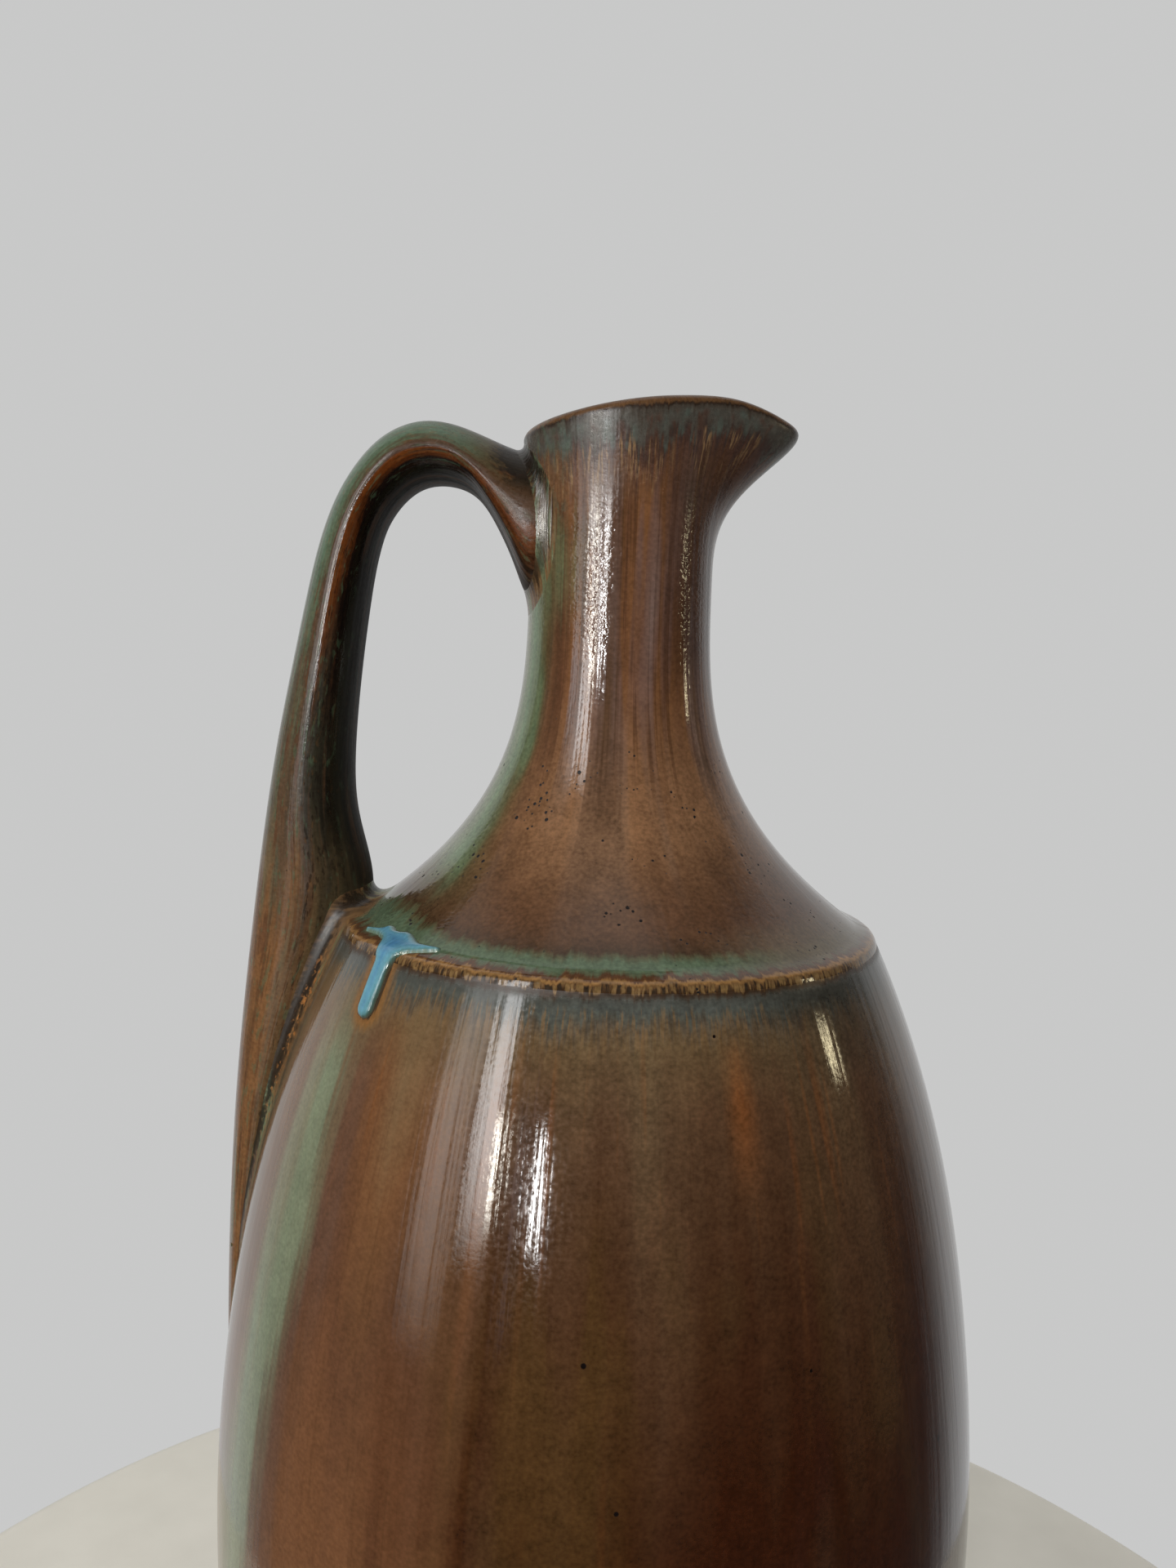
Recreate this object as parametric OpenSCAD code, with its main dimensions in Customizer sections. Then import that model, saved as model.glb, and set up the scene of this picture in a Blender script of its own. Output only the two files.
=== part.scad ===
// Tall stoneware ewer for pouring: ovoid body, flared shoulder and neck, pulled pouring lip, looped handle.
// Thrown sections are luted together with slip, then glazed and fired. Millimetres, +Z up.
// The origin is the centre of the foot on the table, the lip points along +X and the handle along -X.

/* [Body] */
// Largest radius of the belly
belly_r = 79; // [72:0.5:88]
// Height of the largest radius above the table
belly_z = 127; // [112:1:140]
// Vertical half axis of the ellipse that the belly wall follows above its largest radius
belly_half_h = 163; // [150:1:185]
// Height of the joint where the neck section sits on the body
shoulder_z = 244; // [232:1:254]
// Wall of the body
body_wall = 5.5; // [4.5:0.5:7]
// Floor of the body
floor_t = 8; // [6:0.5:12]
// Rounding of the body's lower edge
heel_r = 3; // [1:0.5:4]

/* [Foot] */
// Outer radius of the foot ring
foot_r = 48; // [42:0.5:54]
// Overhang of the body's lower edge past the foot ring
foot_overhang = 4.4; // [3.5:0.1:8]
// Width of the foot ring
foot_w = 9; // [6:0.5:14]
// Height of the body above the table
foot_h = 5; // [3:0.5:8]
// Depth of the groove in the body that takes the foot ring
foot_seat = 2; // [1:0.5:3]
// Rounding of the foot ring's standing edges
foot_edge_r = 1.2; // [0.5:0.1:1.4]

/* [Neck] */
// Height of the neck section from the shoulder joint to the lip joint
neck_h = 70; // [62:1:80]
// Radius of the neck at its waist, which is the lip joint
waist_r = 18.9; // [16:0.1:22]
// Width of the ground between the edge of the ridge and the rise of the shoulder
ridge_w = 4; // [3:0.5:8]
// Rise of the crest of the ridge above the shoulder joint
ridge_rise = 2; // [1:0.1:3]
// Height at which the shoulder starts to rise above the shoulder joint
flare_rise = 2.8; // [2:0.1:4]
// Sharpness of the flare from the waist to the shoulder
flare_power = 3; // [2.5:0.1:3.6]
// Wall of the neck
neck_wall = 4.5; // [3.5:0.1:5.5]
// Length of the spigot that centres the neck in the body
spigot_h = 5; // [3:0.5:8]
// Wall of the spigot
spigot_wall = 4; // [3:0.5:5]

/* [Pouring lip] */
// Height of the lip section above the lip joint
lip_h = 37.5; // [30:0.5:42]
// Radius of the rim at the back and sides
rim_r = 21; // [19.5:0.1:24]
// Reach of the beak from the axis
beak_r = 36.8; // [30:0.1:42]
// Width of the rounding of the beak, as an angle
beak_round = 9; // [5:0.5:14]
// Drop of the rim at the handle
rim_back_dip = 6.5; // [0:0.1:9]
// Drop of the rim at the beak
rim_beak_dip = 3.3; // [1:0.1:6]
// Wall of the lip at the back and sides
lip_wall = 3.6; // [3:0.1:4.5]
// Wall of the lip at the beak
beak_wall = 5; // [4:0.1:6]
// Sharpness of the curve from the waist to the rim
lip_power = 1.9; // [1.4:0.05:2.4]

/* [Handle] */
// Clear gap between the waist of the neck and the handle
handle_gap = 34; // [30:0.5:40]
// Thickness of the handle at the grip
handle_t = 12.6; // [11:0.2:15]
// Width of the handle
handle_w = 20; // [16:0.5:24]
// Drop of the top of the handle below the rim
handle_drop = 4.5; // [1:0.5:10]
// Length of the tail down the body from the shoulder joint
tail_len = 139; // [100:1:150]
// Height of the tail off the body at the shoulder joint
tail_proud = 19; // [15:0.5:22]
// Least height of the tail off the body
tail_skin = 0.6; // [0.3:0.1:1.5]
// Depth of the tail's end in the body
tail_sink = 2; // [1:0.1:3]
// Height of the handle's root where it meets the neck
root_h = 30; // [24:1:34]
// Width of the handle's root
root_w = 24; // [20:0.5:28]
// Drop of the root's upper edge below the top of the handle
root_drop = 6; // [5:0.5:9]
// Layer of luting slip under the handle
luting_t = 0.8; // [0.5:0.1:1.5]
// Spread of the luting slip around the handle
luting_spread = 1; // [0.5:0.1:1.5]

/* [Glaze run] */
// Height of the drip below the crest of the ridge
run_drop = 10; // [6:0.5:20]
// Width of the drip
run_w = 3; // [2:0.1:5]
// Thickness of the raised glaze
run_t = 0.9; // [0.6:0.1:1.5]
// Turn of the drip around the body, from the lip
run_turn = 224; // [215:1:232]
// Length of the pool from the drip towards the handle
run_pool = 13; // [8:0.5:15]
// Length of the tapered arm from the drip towards the lip
run_arm = 8; // [4:0.5:16]

/* [Hidden] */
$fn = 96;
clearance = 0.2;
body_steps = 32;
neck_steps = 26;
lip_steps = 12;
lip_turns = 72;
rim_steps = 6;
section_steps = 24;
span_steps = 4;
arc_steps = 5;
crest_turn = 80;
neck_spread = 1.3;
lens_power = 1.3;
tail_power = 2.4;
tail_end_power = 6;
tail_narrowing = 0.6;
lip_z = shoulder_z + neck_h;
rim_z = lip_z + lip_h;
beak_z = rim_z - rim_beak_dip;
heel_share = (foot_r + foot_overhang) / belly_r;
lower_half_h = (belly_z - foot_h) / sqrt(1 - heel_share * heel_share);
ridge_r = body_r(shoulder_z);
flare_r = ridge_r - ridge_w;
spigot_r = inner_r(shoulder_z) - clearance;
spigot_in_r = spigot_r - spigot_wall;
floor_z = foot_h + floor_t;
waist_in_r = waist_r - neck_wall;
loop_z = rim_z - handle_drop;
root_z = loop_z - root_drop;
far = 2 * belly_r;

// Vertical half axis of the wall at height z: below the largest radius the wall runs in to the foot
function half_h(z) = z > belly_z ? belly_half_h : lower_half_h;

// Outer radius of the belly at height z
function body_r(z) = belly_r * sqrt(1 - pow((z - belly_z) / half_h(z), 2));

// Inner radius of the body at height z
function inner_r(z) = (belly_r - body_wall) * sqrt(1 - pow((z - belly_z) / (half_h(z) - body_wall), 2));

// Share of the way up the neck's flare, 1 at the shoulder and 0 at the waist
function flare_part(z) = (lip_z - z) / (neck_h - flare_rise);

// Outer radius of the neck's flare at height z
function neck_r(z) = waist_r + (flare_r - waist_r) * pow(flare_part(z), flare_power);

// Change of that radius with height
function neck_slope(z) = -flare_power * (flare_r - waist_r) / (neck_h - flare_rise)
    * pow(flare_part(z), flare_power - 1);

// Curve of the lip, 0 at the waist and 1 at the height of the beak
function lip_part(z) = pow(min(1, max(0, (z - lip_z) / (beak_z - lip_z))), lip_power);
function lip_curve(z) = lip_part(z) * lip_part(z) * (3 - 2 * lip_part(z));

// Plan of the rim: a circle of radius r with tangents that run out to a rounded beak at reach b
function turn_from_beak(a) = sqrt(pow(min(a, 360 - a), 2) + beak_round * beak_round) - beak_round;
function rim_plan(a, r, b) = turn_from_beak(a) < acos(r / b)
    ? r / cos(acos(r / b) - turn_from_beak(a))
    : r;

// Outer and inner radius of the lip at turn a and height z
function lip_out(a, z) = waist_r + (rim_plan(a, rim_r, beak_r) - waist_r) * lip_curve(z);
function lip_in(a, z) = waist_in_r
    + (rim_plan(a, rim_r - lip_wall, beak_r - beak_wall) - waist_in_r) * lip_curve(z);

// Height of the rim at turn a
function rim_top(a) = rim_z - rim_back_dip * (1 - cos(a)) / 2
    - rim_beak_dip * exp(-pow(min(a, 360 - a) / (2 * beak_round), 2));

// Half of the rim's thickness at turn a, which is also its rounding
function rim_half(a) = (lip_out(a, rim_z) - lip_in(a, rim_z)) / 2;

// Height of the tail's outer face off the body at share k of its length
function proud(k) = tail_proud * pow(1 - k, tail_power) + tail_skin - tail_sink * pow(k, tail_end_power);

// Outer profile of body, neck and back of the lip from the foot to the rim
function lathe_points() = concat(
    [for (i = [0 : body_steps]) let (z = foot_h + (shoulder_z - foot_h) * i / body_steps) [body_r(z), z]],
    ridge_points(),
    neck_points(),
    [for (i = [1 : lip_steps]) let (z = lip_z + lip_h * i / lip_steps) [lip_out(180, z), z]]
);

// Crest of the ridge, a quarter of an arc
function ridge_points() = [
    for (i = [1 : arc_steps])
        [ridge_r - ridge_rise + ridge_rise * cos(crest_turn * i / arc_steps),
         shoulder_z + ridge_rise * sin(crest_turn * i / arc_steps)]
];

// Flare from the shoulder to the waist, with closer points where it curves
function neck_points() = [
    for (i = [0 : neck_steps])
        let (z = shoulder_z + flare_rise + (neck_h - flare_rise) * pow(i / neck_steps, neck_spread))
        [neck_r(z), z]
];

// The same flare moved inwards by the wall, as far down as the spigot
function neck_inner_points() = [
    for (i = [neck_steps : -1 : 0])
        let (z = shoulder_z + flare_rise + (neck_h - flare_rise) * pow(i / neck_steps, neck_spread),
             n = sqrt(1 + pow(neck_slope(z), 2)),
             r = neck_r(z) - neck_wall / n)
        if (r < spigot_in_r) [r, z + neck_wall * neck_slope(z) / n]
];

// Stations of the handle: x and z of its outer edge, x and z of its inner edge, half width
function loop_station(out_x, out_z, in_x, in_z, wide) = [
    -(waist_r + out_x * (handle_gap + handle_t)),
    shoulder_z + out_z * (loop_z - shoulder_z),
    -(waist_r + in_x * handle_gap),
    shoulder_z + in_z * (loop_z - handle_t - shoulder_z),
    wide * handle_w / 2
];
function tail_station(k) =
    let (z = shoulder_z - k * tail_len, r = body_r(z))
    [-(r + proud(k)), z, body_wall / 2 + tail_sink - r, z, handle_w / 2 * (1 - tail_narrowing * k * k)];
handle_stations = [
    [-waist_in_r, root_z, -waist_in_r, root_z - root_h, root_w / 2],
    [-lip_out(180, root_z), root_z, -waist_r, root_z - root_h, root_w / 2],
    loop_station(0.176, 0.967, 0.085, 0.824, 1.08),
    loop_station(0.307, 0.990, 0.210, 0.918, 1.02),
    loop_station(0.425, 1.000, 0.347, 0.985, 0.99),
    loop_station(0.543, 0.993, 0.568, 1.000, 0.98),
    loop_station(0.685, 0.957, 0.729, 0.973, 0.98),
    loop_station(0.820, 0.876, 0.856, 0.911, 0.98),
    loop_station(0.903, 0.786, 0.909, 0.846, 0.98),
    loop_station(0.959, 0.689, 0.947, 0.774, 0.98),
    loop_station(1.028, 0.534, 1.003, 0.603, 1.00),
    loop_station(1.101, 0.364, 1.041, 0.398, 1.00),
    loop_station(1.155, 0.199, 1.015, 0.232, 1.02),
    loop_station(1.200, 0.032, 0.880, 0.050, 1.05),
    tail_station(0.12),
    tail_station(0.25),
    tail_station(0.4),
    tail_station(0.6),
    tail_station(0.8),
    tail_station(1)
];

// Smooth curve through four stations, at share t between the middle two
function spline(a, b, c, d, t) = 0.5 * (2 * b + (c - a) * t + (2 * a - 5 * b + 4 * c - d) * t * t
    + (3 * b - a - 3 * c + d) * t * t * t);
function station(i) = handle_stations[max(0, min(len(handle_stations) - 1, i))];
handle_path = [
    for (i = [0 : len(handle_stations) - 2])
        for (k = [0 : span_steps - 1])
            spline(station(i - 1), station(i), station(i + 1), station(i + 2), k / span_steps),
    station(len(handle_stations) - 1)
];

// Lens section with softly pointed sides: s is the turn around it, g its growth on all sides
function lens(s) = [sign(cos(s)) * pow(abs(cos(s)), lens_power), sin(s)];
function ring_point(i, s, g) =
    let (p = handle_path[i],
         half = [p[2] - p[0], p[3] - p[1]] / 2,
         reach = half * (1 + g / norm(half)) * lens(s)[0])
    [p[0] + half[0] + reach[0], (p[4] + g) * lens(s)[1], p[1] + half[1] + reach[1]];

// Solid of body, neck and back of the lip without their hollow, grown outwards by g
module lathe_solid(g) {
    points = lathe_points();
    rotate_extrude()
        polygon(concat([[0, foot_h]], [for (p = points) [p[0] + g, p[1]]], [[0, rim_z]]));
}

// Handle as it is pulled, before its ends are cut to the body and the neck
module handle_sweep(g) {
    rings = len(handle_path);
    skin = [
        for (i = [0 : rings - 1])
            for (j = [0 : section_steps - 1])
                ring_point(i, 360 * j / section_steps, g)
    ];
    sides = [
        for (i = [0 : rings - 2])
            for (j = [0 : section_steps - 1])
                let (a = i * section_steps + j, b = i * section_steps + (j + 1) % section_steps)
                each [[a, b, a + section_steps], [b, b + section_steps, a + section_steps]]
    ];
    ends = [
        [for (j = [section_steps - 1 : -1 : 0]) j],
        [for (j = [0 : section_steps - 1]) (rings - 1) * section_steps + j]
    ];
    polyhedron(skin, concat(sides, ends), convexity = 6);
}

// Body with its floor, a level seat for the neck on top and a groove for the foot ring below
module body() {
    outer = [
        for (i = [0 : body_steps])
            let (z = foot_h + heel_r + (shoulder_z - foot_h - heel_r) * i / body_steps)
            [body_r(z), z]
    ];
    inner = [
        for (i = [body_steps : -1 : 0])
            let (z = floor_z + heel_r + (shoulder_z - floor_z - heel_r) * i / body_steps)
            [inner_r(z), z]
    ];
    heel_x = body_r(foot_h + heel_r) - heel_r;
    heel = [
        for (i = [0 : arc_steps - 1])
            [heel_x + heel_r * sin(90 * i / arc_steps), foot_h + heel_r - heel_r * cos(90 * i / arc_steps)]
    ];
    middle = [[inner_r(floor_z + heel_r) - heel_r, floor_z], [0, floor_z], [0, foot_h]];
    color("SaddleBrown")
        difference() {
            rotate_extrude()
                polygon(concat(heel, outer, inner, middle));
            foot_groove(clearance);
        }
}

// Ring of space for the foot ring's upper edge
module foot_groove(gap) {
    translate([0, 0, foot_h - foot_seat])
        difference() {
            cylinder(h = 2 * foot_seat, r = foot_r - foot_edge_r + gap);
            translate([0, 0, -foot_seat])
                cylinder(h = 4 * foot_seat, r = foot_r - foot_w + foot_edge_r - gap);
        }
}

// Turned ring that the ewer stands on, let into the body's underside
module foot_ring() {
    lower = [
        for (i = [0 : arc_steps])
            [foot_r - foot_edge_r + foot_edge_r * sin(90 * i / arc_steps),
             foot_edge_r - foot_edge_r * cos(90 * i / arc_steps)]
    ];
    mid_r = foot_r - foot_w / 2;
    inside = [for (i = [arc_steps : -1 : 0]) [2 * mid_r - lower[i][0], lower[i][1]]];
    tongue = [
        [foot_r, foot_h],
        [foot_r - foot_edge_r, foot_h],
        [foot_r - foot_edge_r, foot_h + foot_seat],
        [foot_r - foot_w + foot_edge_r, foot_h + foot_seat],
        [foot_r - foot_w + foot_edge_r, foot_h],
        [foot_r - foot_w, foot_h]
    ];
    color("Sienna")
        rotate_extrude()
            polygon(concat(lower, tongue, inside));
}

// Shoulder and neck, thrown as one flare, with the ridge at its edge and a spigot inside the body
module neck() {
    spigot = [
        [waist_in_r, lip_z],
        each neck_inner_points(),
        [spigot_in_r, shoulder_z - spigot_h],
        [spigot_r, shoulder_z - spigot_h],
        [spigot_r, shoulder_z]
    ];
    color("Peru")
        rotate_extrude()
            polygon(concat([[ridge_r, shoulder_z]], ridge_points(), neck_points(), spigot));
}

// Top of the neck, pulled out into a beak, with a rounded rim
module pouring_lip() {
    rows = concat(
        [for (i = [0 : lip_steps]) [0, i / lip_steps]],
        [for (i = [1 : rim_steps - 1]) [1, 180 * i / rim_steps]],
        [for (i = [lip_steps : -1 : 0]) [2, i / lip_steps]]
    );
    skin = [
        for (row = rows)
            for (j = [0 : lip_turns - 1])
                lip_point(row, 360 * j / lip_turns)
    ];
    count = len(rows);
    faces = [
        for (i = [0 : count - 1])
            for (j = [0 : lip_turns - 1])
                let (a = i * lip_turns + j,
                     b = i * lip_turns + (j + 1) % lip_turns,
                     c = (i + 1) % count * lip_turns + (j + 1) % lip_turns,
                     d = (i + 1) % count * lip_turns + j)
                each [[a, c, b], [a, d, c]]
    ];
    color("Tan")
        polyhedron(skin, faces, convexity = 6);
}

// Point of the lip at turn a: a row is outside (0), over the rim (1) or inside (2)
function lip_point(row, a) =
    let (half = rim_half(a),
         z_edge = rim_top(a) - half,
         z = row[0] == 1 ? z_edge + half * sin(row[1]) : lip_z + row[1] * (z_edge - lip_z),
         mid = (lip_out(a, z_edge) + lip_in(a, z_edge)) / 2,
         r = row[0] == 0 ? lip_out(a, z)
           : row[0] == 2 ? lip_in(a, z)
           : mid + (lip_out(a, z_edge) - mid) * cos(row[1]))
    [r * cos(a), r * sin(a), z];

// Pulled strap of clay: root on the neck, loop, and a tail down the side of the body
module handle() {
    color("DarkOliveGreen")
        difference() {
            handle_sweep(0);
            lathe_solid(luting_t);
        }
}

// Slip between a stretch of the handle and the clay behind it, from z_low to z_high
module luting(z_low, z_high) {
    difference() {
        intersection() {
            handle_sweep(luting_spread);
            lathe_solid(luting_t);
            translate([-far, -far, z_low])
                cube([far, 2 * far, z_high - z_low]);
        }
        lathe_solid(0);
    }
}

// Slip pad between the handle's root and the neck
module upper_luting() {
    color("Gray")
        luting(lip_z - root_h, rim_z);
}

// Slip strip between the handle's tail and the shoulder and body
module lower_luting() {
    color("Gray")
        luting(foot_h, lip_z - root_h);
}

// Run of thick glaze: a pool in the groove behind the ridge, an arm that tapers off, and a hanging drip
module glaze_run() {
    pool_z = shoulder_z + flare_rise;
    bead = run_w / 2;
    color("SteelBlue")
        difference() {
            intersection() {
                rotate([90, 0, run_turn + 90])
                    linear_extrude(far)
                        union() {
                            translate([-bead, shoulder_z - run_drop + bead])
                                square([run_w, run_drop + flare_rise - bead]);
                            translate([0, shoulder_z - run_drop + bead])
                                circle(bead);
                            polygon([
                                [-run_pool, pool_z - bead / 2],
                                [-bead, pool_z - run_w],
                                [bead, pool_z - run_w],
                                [run_arm, pool_z],
                                [bead, pool_z + bead],
                                [-run_pool, pool_z + bead]
                            ]);
                        }
                lathe_solid(run_t);
            }
            lathe_solid(0);
            handle_sweep(luting_spread + clearance);
        }
}

body();
foot_ring();
neck();
pouring_lip();
handle();
upper_luting();
lower_luting();
glaze_run();
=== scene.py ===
import math

import bpy
import numpy as np
from mathutils import Matrix, Vector


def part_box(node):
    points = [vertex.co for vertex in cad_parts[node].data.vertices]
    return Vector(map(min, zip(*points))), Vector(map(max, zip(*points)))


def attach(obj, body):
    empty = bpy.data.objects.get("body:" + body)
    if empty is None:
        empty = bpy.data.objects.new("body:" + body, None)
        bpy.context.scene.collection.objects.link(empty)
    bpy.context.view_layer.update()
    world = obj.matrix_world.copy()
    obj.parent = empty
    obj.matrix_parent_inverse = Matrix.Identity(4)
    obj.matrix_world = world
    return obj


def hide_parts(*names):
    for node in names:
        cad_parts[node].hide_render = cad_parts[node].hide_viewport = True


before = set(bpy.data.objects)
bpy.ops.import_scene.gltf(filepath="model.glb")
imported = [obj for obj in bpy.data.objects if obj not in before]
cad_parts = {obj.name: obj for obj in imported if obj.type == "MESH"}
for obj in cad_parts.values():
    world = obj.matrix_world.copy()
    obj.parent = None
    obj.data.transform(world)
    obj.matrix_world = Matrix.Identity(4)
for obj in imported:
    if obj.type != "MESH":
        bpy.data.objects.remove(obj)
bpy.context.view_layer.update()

# Foot ring
# A ring of the same stoneware, turned on the wheel and let into a groove under the body with slip.
# It stays bare, so that the ewer does not stick to the kiln shelf, and is rubbed smooth where it stands.
foot_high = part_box("foot_ring")[1]
foot_r = foot_high[0]
foot_w = 0.009
foot_seat = 0.002
foot_edge = 0.0012
foot_step = 0.001
foot_h = foot_high[2] - foot_seat
full_turn = np.linspace(0, 2 * np.pi, num=240, endpoint=False)


def hand_wobble(angle, z):
    """Radial unevenness left by the potter's hands: a few long waves that run round and up the pot."""
    return (
        0.00009 * np.sin(2 * angle + 31 * z + 0.7)
        + 0.00007 * np.sin(3 * angle - 47 * z + 2.1)
        + 0.00006 * np.sin(5 * angle + 88 * z + 4.0)
    )


def polar(r, angle, z):
    """Points at a radius from the axis, an angle round it and a height."""
    return np.stack(np.broadcast_arrays(r * np.cos(angle), r * np.sin(angle), z), axis=-1)


def turned(line):
    """Rows of points round the axis: each radius and height of the line is carried through a full turn."""
    r, z = line[:, 0:1], line[:, 1:2]
    return polar(r + hand_wobble(full_turn, z), full_turn, z)


def skin(name, rows, tips=None, **marks):
    """Closed skin over rows of points. Each row is a closed loop, joined to the next by four-cornered faces.
    Without tips the last row joins the first, and with tips a fan of triangles closes each end on a point.
    Each mark is a number at every point, kept on the mesh for the glaze to read."""
    n, m = rows.shape[:2]
    points = rows.reshape(-1, 3)
    i, j = np.meshgrid(np.arange(n if tips is None else n - 1), np.arange(m), indexing="ij")
    here, there, after = i * m, (i + 1) % n * m, (j + 1) % m
    quads = np.stack([here + j, here + after, there + after, there + j], axis=2).reshape(-1, 4)
    fans = np.zeros((0, 3), int)
    if tips is not None:
        k = np.arange(m)
        last = (n - 1) * m
        fans = np.concatenate([
            np.stack([(k + 1) % m, k, 0 * k + n * m], axis=1),
            np.stack([last + k, last + (k + 1) % m, 0 * k + n * m + 1], axis=1),
        ])
        points = np.vstack([points, np.asarray(tips, float)])
    solid = np.concatenate([quads[:, [0, 1, 2]], quads[:, [0, 2, 3]], fans])
    a, b, c = points[solid[:, 0]], points[solid[:, 1]], points[solid[:, 2]]
    if np.einsum("ij,ij->", a, np.cross(b, c)) < 0:
        quads, fans = quads[:, ::-1], fans[:, ::-1]
    mesh = bpy.data.meshes.new(name)
    mesh.from_pydata(points.tolist(), [], quads.tolist() + fans.tolist(), shade_flat=False)
    mesh.validate()
    mesh.set_sharp_from_angle(angle=math.radians(50))
    for label, values in marks.items():
        values = np.broadcast_to(values, (n, m)).ravel()
        ends = [] if tips is None else [values[0], values[-1]]
        store = mesh.attributes.new(label, "FLOAT", "POINT")
        store.data.foreach_set("value", np.append(values, ends).astype(np.float32))
    piece = bpy.data.objects.new(name, mesh)
    bpy.context.collection.objects.link(piece)
    return piece


def tone(r, g, b):
    """A colour picked on the screen's scale of 0 to 255, as the light it stands for."""
    v = np.array([r, g, b]) / 255
    return (*np.where(v <= 0.04045, v / 12.92, ((v + 0.055) / 1.055) ** 2.4).tolist(), 1.0)


def plug(node, plugs):
    """Sets inputs of a node: one that is given a socket is linked to it, and any other value is set."""
    for label, value in plugs.items():
        if isinstance(value, bpy.types.NodeSocket):
            node.id_data.links.new(value, node.inputs[label])
        else:
            node.inputs[label].default_value = value


def add(tree, kind, plugs=None, **options):
    """One node with its options set and its inputs plugged."""
    made = tree.nodes.new("ShaderNode" + kind)
    for label, value in options.items():
        setattr(made, label, value)
    plug(made, plugs or {})
    return made


def tree_of(*values):
    """The node tree of the first socket among some values."""
    return next(value.id_data for value in values if isinstance(value, bpy.types.NodeSocket))


def calc(operation, a, b=0.0, c=0.0):
    """A sum on values that change over the surface."""
    return add(tree_of(a, b, c), "Math", {0: a, 1: b, 2: c}, operation=operation).outputs[0]


def times(value, *others):
    """The product of some values."""
    for other in others:
        value = calc("MULTIPLY", value, other)
    return value


def fade(value, start, end, low=0.0, high=1.0):
    """A smooth step: low up to the start, high from the end on."""
    plugs = {"Value": value, "From Min": start, "From Max": end, "To Min": low, "To Max": high}
    return add(tree_of(value), "MapRange", plugs, interpolation_type="SMOOTHSTEP").outputs[0]


def coat(share, under, top, mode="MIX"):
    """One colour laid over another by a share."""
    plugs = {0: share, 6: under, 7: top}
    return add(tree_of(share, under, top), "Mix", plugs, data_type="RGBA", blend_type=mode).outputs[2]


def washed(color, *washes):
    """A colour with washes laid over it in turn: each is a shade of 0 to 255 by the product of its shares."""
    for shade, *shares in washes:
        color = coat(times(*shares), color, tone(*shade))
    return color


def grain(place, size, detail=2.0, rough=0.5):
    """Cloudy noise with grains of a size, in the unit of the place."""
    plugs = {"Vector": place, "Scale": 1 / size, "Detail": detail, "Roughness": rough}
    return add(tree_of(place), "TexNoise", plugs).outputs["Fac"]


def layers(value, low, high, stops):
    """Colours and their cover by a value: each stop is a value, a colour and a cover from 0 to 1."""
    share = add(tree_of(value), "MapRange", {"Value": value, "From Min": low, "From Max": high}).outputs[0]
    made = add(tree_of(value), "ValToRGB", {"Fac": share})
    elements = made.color_ramp.elements
    while len(elements) < len(stops):
        elements.new(0.5)
    for element, stop in zip(elements, stops):
        element.position = (stop[0] - low) / (high - low)
    # The colours come last, because a stop that moves can change places with another.
    for element, stop in zip(elements, stops):
        element.color = (*tone(*stop[1])[:3], stop[2])
    return made.outputs["Color"], made.outputs["Alpha"]


def shades(value, low, high, stops):
    """Colours by a value that cover all: each stop is a value and a colour."""
    return layers(value, low, high, [(*stop, 1.0) for stop in stops])[0]


def finish_material(name):
    """An empty material with a shader: returns the material, its node tree and the shader."""
    material = bpy.data.materials.new(name)
    material.use_nodes = True
    return material, material.node_tree, material.node_tree.nodes["Principled BSDF"]


def arc(r, z, radius, start, end, count):
    """Points of a circular arc in the plane of radius and height, from one angle to another in degrees."""
    a = np.radians(np.linspace(start, end, count))
    return np.stack([r + radius * np.cos(a), z + radius * np.sin(a)], axis=1)


def read_off(at, places, points):
    """Points at some places along a line, straight between its own points and their places."""
    return np.stack([np.interp(at, places, column) for column in points.T], axis=-1)


def fill_line(corners, step):
    """Points along a line of corners, no further apart than the step, with every corner kept."""
    corners = np.asarray(corners, float)
    counts = np.maximum(1, np.ceil(np.hypot(*np.diff(corners, axis=0).T) / step)).astype(int)
    share = np.concatenate([i + np.arange(k) / k for i, k in enumerate(counts)] + [[len(counts)]])
    return read_off(share, np.arange(len(corners)), corners)


foot_in = foot_r - foot_w
foot_line = np.concatenate([
    arc(foot_r - foot_edge, foot_edge, foot_edge, -90, 0, 8),
    fill_line([[foot_r, 2 * foot_edge], [foot_r, foot_h]], foot_step),
    fill_line([[foot_r - foot_edge, foot_h], [foot_r - foot_edge, foot_h + foot_seat],
               [foot_in + foot_edge, foot_h + foot_seat], [foot_in + foot_edge, foot_h]], foot_step),
    fill_line([[foot_in, foot_h], [foot_in, 2 * foot_edge]], foot_step),
    arc(foot_in + foot_edge, foot_edge, foot_edge, 180, 270, 8),
])
foot_ring = skin("foot_ring_visual", turned(foot_line))
clay, tree, shader = finish_material("bare_clay")
spot = add(tree, "TexCoord").outputs["Object"]
speckle = grain(spot, 0.0004, 3.0, 0.7)
stain = grain(spot, 0.012, 3.0)
color = shades(speckle, 0.25, 0.75, [
    (0.25, (92, 62, 42)), (0.45, (150, 116, 86)), (0.62, (164, 130, 98)), (0.75, (188, 158, 126))])
color = washed(color, ((116, 82, 58), fade(stain, 0.45, 0.75, 0, 0.5)))
bump = add(tree, "Bump", {"Height": speckle, "Distance": 0.00012, "Strength": 0.6}).outputs["Normal"]
plug(shader, {"Base Color": color, "Roughness": 0.78, "Normal": bump})
foot_ring.data.materials.append(clay)
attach(foot_ring, "root")
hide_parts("foot_ring")

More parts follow.
